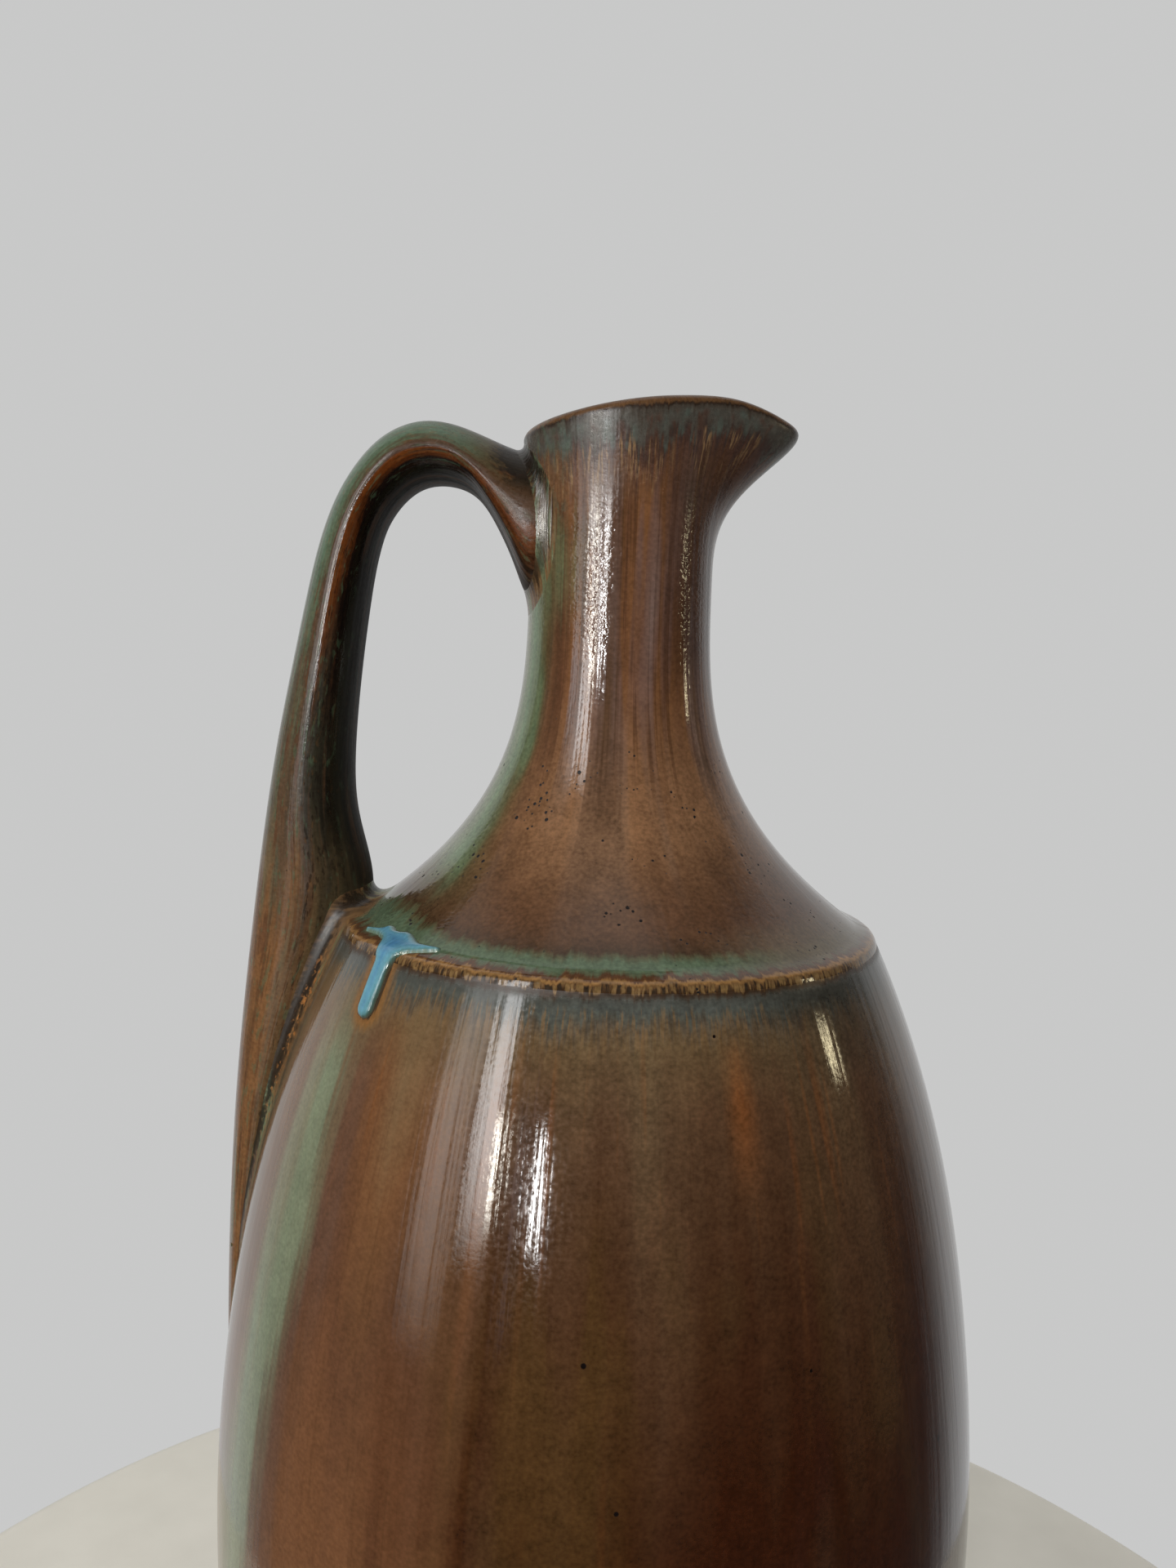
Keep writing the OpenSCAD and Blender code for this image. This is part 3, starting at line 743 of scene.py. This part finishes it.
# Handle
# A strap of clay, pulled to a lens-shaped section, luted to the neck, looped and smoothed down the body.
# The glaze is green and grey-brown on its broad faces and breaks to rust along its edges.
handle_gap = 0.034
handle_t = 0.0126
handle_w = 0.02
loop_drop = 0.0045
root_drop = 0.006
loop_z = rim_z - loop_drop
root_z = loop_z - root_drop
root_h = 0.03
root_w = 0.024
tail_len = 0.139
tail_proud = 0.019
tail_skin = 0.0006
tail_sink = 0.002
tail_power, tail_dip_power = 2.4, 6
tail_narrowing = 0.6
lens_power = 1.22
root_power_drop = 0.4
root_full, root_end = 1.0, 3.5
path_half = 90
loop_top_row = 60
buried = 0.0012
strap_flow_w = 12.0

# Stations of the loop: outer edge out and up, inner edge out and up, width, each as a share of its size.
loop = np.array([
    [0.176, 0.967, 0.085, 0.824, 1.08], [0.307, 0.990, 0.210, 0.918, 1.02],
    [0.425, 1.000, 0.347, 0.985, 0.99], [0.543, 0.993, 0.568, 1.000, 0.98],
    [0.685, 0.957, 0.729, 0.973, 0.98], [0.820, 0.876, 0.856, 0.911, 0.98],
    [0.903, 0.786, 0.909, 0.846, 0.98], [0.959, 0.689, 0.947, 0.774, 0.98],
    [1.028, 0.534, 1.003, 0.603, 1.00], [1.101, 0.364, 1.045, 0.398, 1.00],
    [1.155, 0.199, 1.024, 0.232, 1.02], [1.200, 0.032, 0.880, 0.050, 1.05],
])
loop = np.stack([
    -(waist_r + loop[:, 0] * (handle_gap + handle_t)),
    shoulder_z + loop[:, 1] * (loop_z - shoulder_z),
    -(waist_r + loop[:, 2] * handle_gap),
    shoulder_z + loop[:, 3] * (loop_z - handle_t - shoulder_z),
    loop[:, 4] * handle_w / 2,
], axis=1)
down = np.array([0.12, 0.25, 0.4, 0.6, 0.8, 1.0])
tail_z = shoulder_z - down * tail_len
proud = tail_proud * (1 - down) ** tail_power + tail_skin - tail_sink * down ** tail_dip_power
tail = np.stack([
    -(belly_line(tail_z) + proud), tail_z, body_wall / 2 + tail_sink - belly_line(tail_z), tail_z,
    handle_w / 2 * (1 - tail_narrowing * down * down),
], axis=1)
stations = np.concatenate([
    [[-waist_in, root_z, -waist_in, root_z - root_h, root_w / 2],
     [-float(lip_outside(180.0, root_z)), root_z, -waist_r, root_z - root_h, root_w / 2]],
    loop, tail,
])
path_s = np.linspace(0, len(stations) - 1, num=1700)
before = np.clip(np.floor(path_s).astype(int), 0, len(stations) - 2)
a, b, c, d = (stations[np.clip(before + k, 0, len(stations) - 1)] for k in (-1, 0, 1, 2))
t = (path_s - before)[:, None]
square, cube = 2 * a - 5 * b + 4 * c - d, 3 * b - a - 3 * c + d
through = 0.5 * (2 * b + (c - a) * t + square * t ** 2 + cube * t ** 3)
path_table = evened(through, np.hanning(2 * path_half + 3)[1:-1])


def handle_path(s):
    """Outer edge, inner edge and half width of the strap at place s: a cubic through the stations, evened
    by a rounded average."""
    return read_off(s, path_s, path_table)


def strap(s, turn):
    """Point of the strap at place s along it and a turn round its section: a lens with softly pointed sides,
    pressed full at the root."""
    p = handle_path(s)
    power = lens_power - root_power_drop * np.clip((root_end - s) / (root_end - root_full), 0, 1)
    deep = np.sign(np.cos(turn)) * np.abs(np.cos(turn)) ** power
    x = (p[..., 0] + p[..., 2]) / 2 + (p[..., 2] - p[..., 0]) / 2 * deep
    z = (p[..., 1] + p[..., 3]) / 2 + (p[..., 3] - p[..., 1]) / 2 * deep
    y = p[..., 4] * np.sin(turn) + 0 * x
    return np.stack([x, y, z], axis=-1)


back_z = np.linspace(lip_z, rim_z, num=300)[1:]
back_r = lip_outside(np.full_like(back_z, 180.0), back_z)
wall_line = np.concatenate([outside, np.stack([back_r, back_z], axis=1)])


def wall_r(points):
    """Outer radius of body, neck and back of the lip at the angle and height of each point."""
    angle = np.arctan2(points[..., 1], points[..., 0])
    return np.interp(points[..., 2], wall_line[:, 1], wall_line[:, 0]) + hand_wobble(angle, points[..., 2])


along = np.linspace(0, len(stations) - 1, num=420)[:, None]
around = np.linspace(0, 2 * np.pi, num=96, endpoint=False)[None, :]
strap_rows = strap(along + 0 * around, around + 0 * along)
reach = np.hypot(strap_rows[..., 0], strap_rows[..., 1])
pull = np.maximum(reach, wall_r(strap_rows) - buried) / reach
strap_rows[..., :2] *= pull[..., None]
path = handle_path(along[:, 0])
middle = (path[:, 0:2] + path[:, 2:4]) / 2
travel = mm * lengths(middle)[:, None]
handle = skin("handle_visual", strap_rows, tips=[strap_rows[0].mean(0), strap_rows[-1].mean(0)],
              travel=travel, inward=np.cos(around))
shoulder_travel = float(np.interp(-shoulder_z, -middle[loop_top_row:, 1], travel[loop_top_row:, 0]))
handle_glaze, tree, shader = finish_material("handle_glaze")
run_mm = mark(tree, "travel")
inward = mark(tree, "inward")
place = placed(tree, pot_place)["Grain"]
sideways = add(tree, "SeparateXYZ", {0: place}).outputs[1]
strap_flow = add(tree, "CombineXYZ", {0: times(inward, strap_flow_w), 1: sideways, 2: run_mm}).outputs[0]
wide = runs_on(strap_flow, 5, 60, 2)
thin = runs_on(strap_flow, 1.6, 34, 7)
speck = runs_on(strap_flow, 1, 2.2, 4)
blotch = runs_on(strap_flow, 6, 16, 9)
across = swayed(inward, (thin, 0.3), (blotch, 0.22), (speck, 0.14))
# Across the strap from outer to inner edge. The inner half, turned away from the window, is painted
# near-black: partly the glaze's dark colour, partly painted shade.
loop_color = shades(across, -1, 1, [
    (-1, (72, 82, 64)), (-0.7, (78, 96, 77)), (-0.45, (76, 86, 67)), (-0.28, (72, 54, 40)),
    (-0.12, (82, 69, 61)), (0, (64, 38, 23)), (0.08, (92, 50, 19)), (0.24, (86, 43, 15)),
    (0.36, (64, 32, 12)), (0.48, (30, 16, 9)), (0.62, (14, 9, 7)), (1, (10, 7, 5))])
back_color = shades(across, -1, 1, [
    (-1, (84, 78, 62)), (-0.7, (76, 74, 58)), (-0.5, (82, 63, 46)), (-0.25, (70, 57, 44)),
    (-0.1, (80, 75, 69)), (0.04, (60, 56, 50)), (0.16, (52, 48, 40)), (0.3, (46, 43, 33)),
    (0.45, (38, 34, 26)), (0.62, (25, 21, 15)), (1, (16, 13, 10))])
tail_color = shades(across, -1, 1, [
    (-1, (94, 68, 44)), (-0.6, (108, 75, 47)), (-0.3, (108, 76, 48)), (-0.1, (94, 76, 58)),
    (0.08, (88, 66, 44)), (0.25, (84, 66, 44)), (0.5, (62, 52, 35)), (1, (40, 34, 24))])
veins = runs_on(strap_flow, 1.4, 12, 13)
green_spot = runs_on(strap_flow, 1.3, 3.4, 33)
black_spot = runs_on(strap_flow, 0.9, 2.6, 41)
color = coat(fade(swayed(run_mm, (wide, 40)), 62, 96), loop_color, back_color)
past_loop = fade(swayed(run_mm, (wide, 34)), shoulder_travel - 26, shoulder_travel + 6)
at_root = fade(swayed(run_mm, (blotch, 8)), 24, 9)
in_crease = fade(swayed(run_mm, (blotch, 6), (speck, 5)), 13, 8, 0, 0.9)
# Washes: green and brown runs, veins, rust, green and black specks, brown at the root, partly painted shade
# where the strap meets the neck, and then dirt at the root.
color = washed(
    coat(past_loop, color, tail_color),
    ((78, 98, 78), fade(wide, 0.62, 0.9), fade(inward, -0.1, -0.5, 0, 0.5)),
    ((70, 47, 31), fade(thin, 0.42, 0.12), 0.55),
    ((80, 54, 37), fade(veins, 0.58, 0.75), fade(blotch, 0.35, 0.65), fade(inward, 0, -0.3, 0, 0.7)),
    ((104, 69, 38), fade(speck, 0.7, 0.9), fade(inward, 0.5, 0.2, 0.05, 0.3)),
    ((66, 84, 62), fade(green_spot, 0.68, 0.9), fade(inward, 0.8, 0.4, 0.15, 0.45)),
    ((26, 19, 14), fade(black_spot, 0.66, 0.86), fade(inward, -0.2, 0.1, 0.1, 0.6)),
    ((66, 42, 19), at_root, fade(inward, 0.1, -0.1, 0.2, 0.8)),
    ((22, 17, 13), in_crease, fade(inward, -0.1, -0.5)),
)
dulled = calc("MAXIMUM", fade(inward, 0.6, 0.9, 0.03, 0.5), fade(run_mm, 40, 22, 0, 0.2))
glazed(shader, dulled, Grain=place, Runs=thin, Pitted=1, Mottled=0.55, Peel=0.03, Under=color)
plug(shader, {"Specular IOR Level": 0.3})
handle.data.materials.append(handle_glaze)
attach(handle, "root")
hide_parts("handle")

# Lutings
# The slip that sticks the handle's root to the neck and its tail to the shoulder and body.
# It was smoothed to a hollow curve with a wet finger and lies under the same glaze.
luting_w = 0.0034
luting_step = 0.0006
luting_tuck = 0.00004
luting_under = 0.0008
curve_count = 12
upper_web, lower_web = 0.0012, 0.0040
web_start, web_rise = -0.3, 0.9
root_from, tail_from = 4.0, 10.0


def unit(v):
    """The same directions at length one."""
    return v / np.maximum(np.linalg.norm(v, axis=-1, keepdims=True), 1e-12)


def dot(a, b):
    """How far each direction goes along another: the products of their parts, summed."""
    return np.einsum("ij,ij->i", a, b)


def facing(v, guide):
    """Directions at length one, turned round where they point away from a guide."""
    v = unit(v)
    return v * np.sign(dot(v, guide))[:, None]


def wall_normal(points):
    """Outward direction of the wall of body and neck at each point."""
    angle = np.arctan2(points[..., 1], points[..., 0])
    slant = np.gradient(wall_line[:, 0], wall_line[:, 1])
    return unit(polar(1.0, angle, -np.interp(points[..., 2], wall_line[:, 1], slant)))


def luting_rows(first, last, width):
    """Sections of a hollow curve laid along the line where the strap meets the wall.
    On each line along the strap they meet where it first dips into the wall, going from first to last.
    Each section leaves strap and wall along their own surfaces, at a width that the meeting's turn sets."""
    turn = np.linspace(0, 2 * np.pi, num=1440, endpoint=False)
    s = np.linspace(first, last, num=1500)
    points = strap(s[:, None] + 0 * turn, turn + 0 * s[:, None])
    depth = np.hypot(points[..., 0], points[..., 1]) - wall_r(points)
    hit = np.argmax(depth < 0, axis=0)
    lines = np.arange(len(turn))
    d0, d1 = depth[hit - 1, lines], depth[hit, lines]
    s = s[hit - 1] + (s[hit] - s[hit - 1]) * d0 / (d0 - d1)
    meet = strap(s, turn)
    length = lengths(np.concatenate([meet, meet[:1]]))
    even = np.linspace(0, length[-1], int(length[-1] / luting_step), endpoint=False)
    s = np.interp(even, length, np.append(s, s[0]))
    turn = np.interp(even, length, np.append(turn, 2 * np.pi))
    meet = strap(s, turn)
    tiny = 1e-4
    ds = (strap(s + tiny, turn) - strap(s - tiny, turn)) / (2 * tiny)
    dt = (strap(s, turn + tiny) - strap(s, turn - tiny)) / (2 * tiny)
    p = handle_path(s)
    middle = np.stack([(p[:, 0] + p[:, 2]) / 2, 0 * s, (p[:, 1] + p[:, 3]) / 2], axis=1)
    strap_n = facing(np.cross(ds, dt), meet - middle)
    wall_n = wall_normal(meet)
    run = unit(np.roll(meet, -3, axis=0) - np.roll(meet, 3, axis=0))
    w = width(turn)[:, None]
    up_strap = w * facing(np.cross(strap_n, run), wall_n)
    out_wall = w * facing(np.cross(wall_n, run), strap_n)
    # The way up the strap as steps along it and round it, solved from the slopes of its surface.
    ss, st, tt, bs, bt = dot(ds, ds), dot(ds, dt), dot(dt, dt), dot(ds, up_strap), dot(dt, up_strap)
    det = ss * tt - st * st
    on_strap = strap(s + (bs * tt - bt * st) / det, turn + (bt * ss - bs * st) / det) - luting_tuck * strap_n
    on_wall = meet + out_wall
    on_wall[:, :2] *= (wall_r(on_wall) / np.hypot(on_wall[:, 0], on_wall[:, 1]))[:, None]
    on_wall = on_wall - luting_tuck * wall_n
    t = np.linspace(0, 1, curve_count)[None, :, None]
    top = (1 - t) ** 2 * on_strap[:, None] + 2 * t * (1 - t) * meet[:, None] + t * t * on_wall[:, None]
    under = np.stack([on_wall - luting_under * wall_n, meet - luting_under * unit(wall_n + strap_n),
                      on_strap - luting_under * strap_n], axis=1)
    return np.concatenate([top, under], axis=1)


def upper_w(turn):
    """Width of the upper slip by the turn round the strap: widest on the inner side."""
    return luting_w + upper_web * np.cos(turn)


def lower_w(turn):
    """Width of the lower slip by the turn round the strap: a wide web on the inner side."""
    return luting_w + lower_web * np.clip((np.cos(turn) - web_start) / web_rise, 0, 1) ** 2


share_off = np.concatenate([np.linspace(0, 1, curve_count), [1, 0.5, 0]])
upper_rows = luting_rows(root_from, 0.0, upper_w)
upper_luting = skin("upper_luting_visual", upper_rows, off_strap=share_off)
lower_rows = luting_rows(tail_from, len(stations) - 1.0, lower_w)
lower_luting = skin("lower_luting_visual", lower_rows, off_strap=share_off)
luting_glaze, tree, shader = finish_material("luting_glaze")
flow, place, turn, height = placed(tree, pot_place).values()
wide = runs_on(flow, 8, 24, 2)
thin = runs_on(flow, 2, 12, 7)
blend = calc("ADD", times(wide, 0.6), times(thin, 0.4))
color = shades(blend, 0.1, 0.9, [
    (0.1, (58, 42, 28)), (0.35, (88, 66, 43)), (0.5, (104, 78, 50)), (0.62, (92, 92, 66)),
    (0.72, (96, 108, 82)), (0.9, (118, 78, 42))])
off_strap = mark(tree, "off_strap")
speck = runs_on(flow, 0.9, 1.1, 17)
off_crease = swayed(apart(off_strap, 0.42), (thin, 0.2), (speck, 0.25))
crease = fade(off_crease, fade(height, 318, 332, 0.28, 0.5), 0.06)
on_tail = times(fade(height, 196, 208), fade(height, 242, 234))
bitten = times(on_tail, fade(off_strap, 0.4, 0.6))
# Washes: the dark crease, the dirt above the root, a pale and dark edge beside the tail.
color = washed(
    color,
    ((28, 22, 16), crease, fade(height, 246, 318, 0.9, 0.65)),
    ((20, 16, 13), fade(swayed(height, (speck, 6)), 331, 336, 0, 0.9)),
    ((140, 92, 48), bitten, fade(speck, 0.6, 0.8)),
    ((30, 22, 16), bitten, fade(speck, 0.25, 0.1)),
)
rim = fade(swayed(off_strap, (wide, 0.3)), 0.78, 0.95)
low_rim, cover = layers(height, 200, 260, [
    (200, (112, 80, 54), 0.7), (236, (112, 82, 54), 0.7), (248, (88, 98, 74), 0.6)])
color = coat(times(rim, cover), color, low_rim)
glazed(shader, fade(height, 262, 240, 0.1, 0.22),
       Grain=place, Runs=thin, Pitted=1.2, Mottled=0.5, Peel=0.02, Under=color)
for piece, node in ((upper_luting, "upper_luting"), (lower_luting, "lower_luting")):
    piece.data.materials.append(luting_glaze)
    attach(piece, "root")
    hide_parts(node)

# Glaze run
# Thick blue glaze that gathered in the groove behind the ridge and ran over it in one hanging drip.
# It stands off the surface with a rounded edge and thins to the ochre that rings it.
run_turn = math.radians(224)
run_drop = 0.010
run_t = 0.0009
run_pool = 0.013
run_arm = 0.008
spare_left, spare_right, spare_low, spare_high = 0.0115, 0.003, 0.003, 0.005
crown_w = 0.0013
skirt_slope, skirt_depth = 0.8, 0.0003
run_sink = 0.0008
meet_u = -0.0022
pool_soft, meet_soft = 0.0020, 0.0036
pool_r, drip_r, arm_r, thread_r, tip_r = 0.0025, 0.0020, 0.0022, 0.0011, 0.0005
line_length = lengths(outside)
pool_v = np.interp(shoulder_z + flare_rise, outside[:, 1], line_length)
drip_v = np.interp(shoulder_z - run_drop, outside[:, 1], line_length)
u = np.linspace(-run_pool - spare_left, run_arm + spare_right, num=200)[:, None]
v = np.linspace(drip_v - spare_low, pool_v + spare_high, num=110)[None, :]


def bead(start, end, r0, r1):
    """Distance of the run's points from a bead of glaze whose radius changes evenly from r0 to r1."""
    du, dv = end[0] - start[0], end[1] - start[1]
    share = np.clip(((u - start[0]) * du + (v - start[1]) * dv) / (du * du + dv * dv), 0, 1)
    return np.hypot(u - start[0] - share * du, v - start[1] - share * dv) - (r0 + (r1 - r0) * share)


def merge(a, b, soft):
    """Smooth union of two distances."""
    h = np.clip(0.5 + 0.5 * (b - a) / soft, 0, 1)
    return b + (a - b) * h - soft * h * (1 - h)


neck_of_pool = (meet_u - 0.0078, pool_v + 0.0006)
drip = bead((meet_u, pool_v - 0.0020), (meet_u, drip_v + drip_r), pool_r, drip_r)
pool = bead(neck_of_pool, (meet_u - 0.0018, pool_v - 0.0008), thread_r, pool_r)
tail_of_pool = bead(neck_of_pool, (meet_u - run_pool - 0.0015, pool_v - 0.0010), thread_r, tip_r)
arm = bead((meet_u + 0.0008, pool_v - 0.0018), (run_arm, pool_v + 0.0002), arm_r, tip_r)
inside = -merge(merge(drip, merge(pool, tail_of_pool, pool_soft), meet_soft), arm, meet_soft)
crown = np.sqrt(1 - (1 - np.clip(inside / crown_w, 0, 1)) ** 2)
thick = np.where(inside > 0, run_t * crown, np.maximum(inside * skirt_slope, -skirt_depth))
run_line = read_off(v[0], line_length, outside)
run_angle = run_turn + u / ridge_r


def on_wall_line(height):
    """Points over the wall at each angle and place of the run, moved outwards by a height."""
    r, z = run_line[None, :, 0], run_line[None, :, 1]
    d = np.gradient(run_line, axis=0)
    n = np.stack([d[:, 1], -d[:, 0]], axis=1) / np.hypot(d[:, 0], d[:, 1])[:, None]
    out_r = r + hand_wobble(run_angle, z) + height * n[None, :, 0]
    return polar(out_r, run_angle, z + height * n[None, :, 1])


run_top = on_wall_line(thick)
run_under = on_wall_line(np.full_like(thick, -run_sink))[:, ::-1]
run_rows = np.concatenate([run_top, run_under], axis=1)
run_depth = mm * np.concatenate([inside, inside[:, ::-1]], axis=1)
glaze_run = skin("glaze_run_visual", run_rows, tips=[run_rows[0].mean(0), run_rows[-1].mean(0)],
                 run_depth=run_depth)
run_glaze, tree, shader = finish_material("run_glaze")
flow, place, turn, height = placed(tree, pot_place).values()
thin = runs_on(flow, 0.9, 6, 7)
depth = swayed(mark(tree, "run_depth"), (thin, 0.4))
hanging = shades(depth, -0.4, 3.2, [
    (-0.4, (86, 70, 48)), (-0.05, (66, 62, 46)), (0.2, (66, 90, 83)), (0.55, (84, 127, 134)),
    (1.2, (92, 140, 154)), (1.9, (86, 134, 156)), (2.5, (74, 122, 151)), (3.2, (64, 112, 148))])
pooled = shades(depth, -0.4, 3.2, [
    (-0.4, (84, 98, 78)), (0.05, (82, 102, 84)), (0.3, (80, 116, 114)), (0.7, (86, 132, 144)),
    (1.5, (84, 132, 154)), (2.5, (72, 120, 150)), (3.2, (62, 110, 147))])
color = coat(fade(height, 244.6, 246.2), hanging, pooled)
glazed(shader, Grain=place, Runs=thin, Pitted=0.6, Mottled=0.3, Peel=0.012, Under=color)
glaze_run.data.materials.append(run_glaze)
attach(glaze_run, "root")
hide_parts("glaze_run")

# Stage
# A plain pale floor under the ewer, in a pale studio with a graded dark cloth in front, on the side away
# from the window. Lamps stand for the panes of the window, and broad fills light what they leave dark.
floor_r = 0.24
floor_edge = 0.006
floor_t = 0.03
floor_middle, under_middle = 0.01, 0.02
floor_line = np.concatenate([
    fill_line([[floor_middle, 0.0], [floor_r - floor_edge, 0.0]], step=0.05),
    arc(floor_r - floor_edge, -floor_edge, floor_edge, 80, 0, 8),
    [[floor_r, -floor_t], [under_middle, -floor_t]],
])
floor = skin("floor", turned(floor_line), tips=[[0, 0, 0], [0, 0, -floor_t]])
floor_paint, tree, shader = finish_material("floor_paint")
fibre = grain(add(tree, "TexCoord").outputs["Object"], 0.02, 4.0)
color = shades(fibre, 0.3, 0.7, [(0.3, (202, 198, 187)), (0.7, (208, 204, 193))])
plug(shader, {"Base Color": color, "Roughness": 0.6})
floor.data.materials.append(floor_paint)

cloth_r = 1.7
cloth_z = 0.2
cloth_t = 0.005
top_haste = 1.6
cloth_turn = np.radians(np.linspace(-215, 40, num=100))[:, None]
cloth_rise = np.radians(np.linspace(-72, 84, num=66))[None, :]
cloth_points = polar(cloth_r * np.cos(cloth_rise), cloth_turn, cloth_z + cloth_r * np.sin(cloth_rise))
cloth_rows = np.concatenate([cloth_points, (1 + cloth_t) * cloth_points[:, ::-1]], axis=1)
off_sides = np.minimum(cloth_turn - cloth_turn[0], cloth_turn[-1] - cloth_turn)
off_ends = np.minimum(cloth_rise - cloth_rise[0, 0], top_haste * (cloth_rise[0, -1] - cloth_rise))
off_edge = np.degrees(np.minimum(off_sides, off_ends))
cloth = skin("dark_cloth", cloth_rows, tips=[cloth_rows[0].mean(0), cloth_rows[-1].mean(0)],
             off_edge=np.concatenate([off_edge, off_edge[:, ::-1]], axis=1))
cloth_dye, tree, shader = finish_material("cloth_dye")
from_edge = mark(tree, "off_edge")
color = shades(from_edge, 0, 90, [(20, (104, 103, 102)), (44, (66, 64, 62)), (80, (48, 46, 44))])
plug(shader, {"Base Color": color, "Alpha": fade(from_edge, 0, 34), "Roughness": 1, "Specular IOR Level": 0})
cloth.data.materials.append(cloth_dye)
cloth.visible_camera = False

camera = bpy.data.objects.new("camera", bpy.data.cameras.new("camera"))
bpy.context.collection.objects.link(camera)
camera.data.lens = 27.04
camera.data.sensor_width = 36
camera.data.clip_start = 0.01
camera.data.clip_end = 20
eye = (-0.0054, -0.246, 0.296)
dip, roll = math.radians(5.17), math.radians(1.78)
aim = Matrix.Rotation(math.pi / 2 - dip, 4, "X") @ Matrix.Rotation(roll, 4, "Z")
camera.matrix_world = Matrix.Translation(eye) @ aim
bpy.context.scene.camera = camera

lamp_r = 1.32
aim_z = 0.23
fade_level = 2.25


def lamp(name, turn, z, width, height, power, tint=(1, 1, 1)):
    """A panel of light that faces the ewer from a turn in degrees and a height, brightest in its middle.
    It fades to its edges by one minus the square of the way from the middle, both across and up."""
    light = bpy.data.lights.new(name, "AREA")
    light.shape = "RECTANGLE"
    light.size, light.size_y = width, height
    light.energy = power
    light.color = tint
    light.use_nodes = True
    tree = light.node_tree
    spot = add(tree, "SeparateXYZ", {0: add(tree, "NewGeometry").outputs["Parametric"]}).outputs
    ways = [calc("MULTIPLY_ADD", spot[k], 2, -1) for k in (0, 1)]
    fades = [calc("SUBTRACT", 1, times(way, way)) for way in ways]
    plug(tree.nodes["Emission"], {"Strength": times(*fades, fade_level)})
    panel = bpy.data.objects.new(name, light)
    bpy.context.collection.objects.link(panel)
    place = Vector(polar(lamp_r, math.radians(turn), z))
    back = place - Vector((0, 0, aim_z))
    panel.matrix_world = Matrix.Translation(place) @ back.to_track_quat("Z", "Y").to_matrix().to_4x4()
    panel.visible_camera = False
    return panel


lamp("window_main", -110.4, 0.43, 0.06, 0.38, 4.2)
lamp("window_gold", -124.4, 0.455, 0.075, 0.36, 2.0, (1, 0.96, 0.86))
lamp("window_pane", -129.0, 0.74, 0.25, 1.25, 4.8)
lamp("window_veil", -142.5, 0.60, 0.38, 1.50, 2.2)
lamp("window_curtain", -117.0, 0.40, 0.08, 0.90, 0.13, (1, 0.84, 0.86))
lamp("window_right", -3.4, 0.515, 0.065, 0.22, 0.38, (1, 0.87, 0.55))
for name, fill_turn, z, power in (("side_fill", -147.0, 0.75, 5.2), ("front_fill", -84.0, 0.85, 8.0),
                                  ("right_fill", 12.0, 0.8, 4.0), ("back_fill", 95.0, 0.8, 6.0)):
    lamp(name, fill_turn, z, 1.0, 1.0, power).visible_glossy = False
world = bpy.data.worlds.new("studio_walls")
bpy.context.scene.world = world
world.use_nodes = True
plug(world.node_tree.nodes["Background"], {"Color": (0.58, 0.582, 0.58, 1), "Strength": 1.0})

bpy.context.scene.view_settings.view_transform = "Standard"
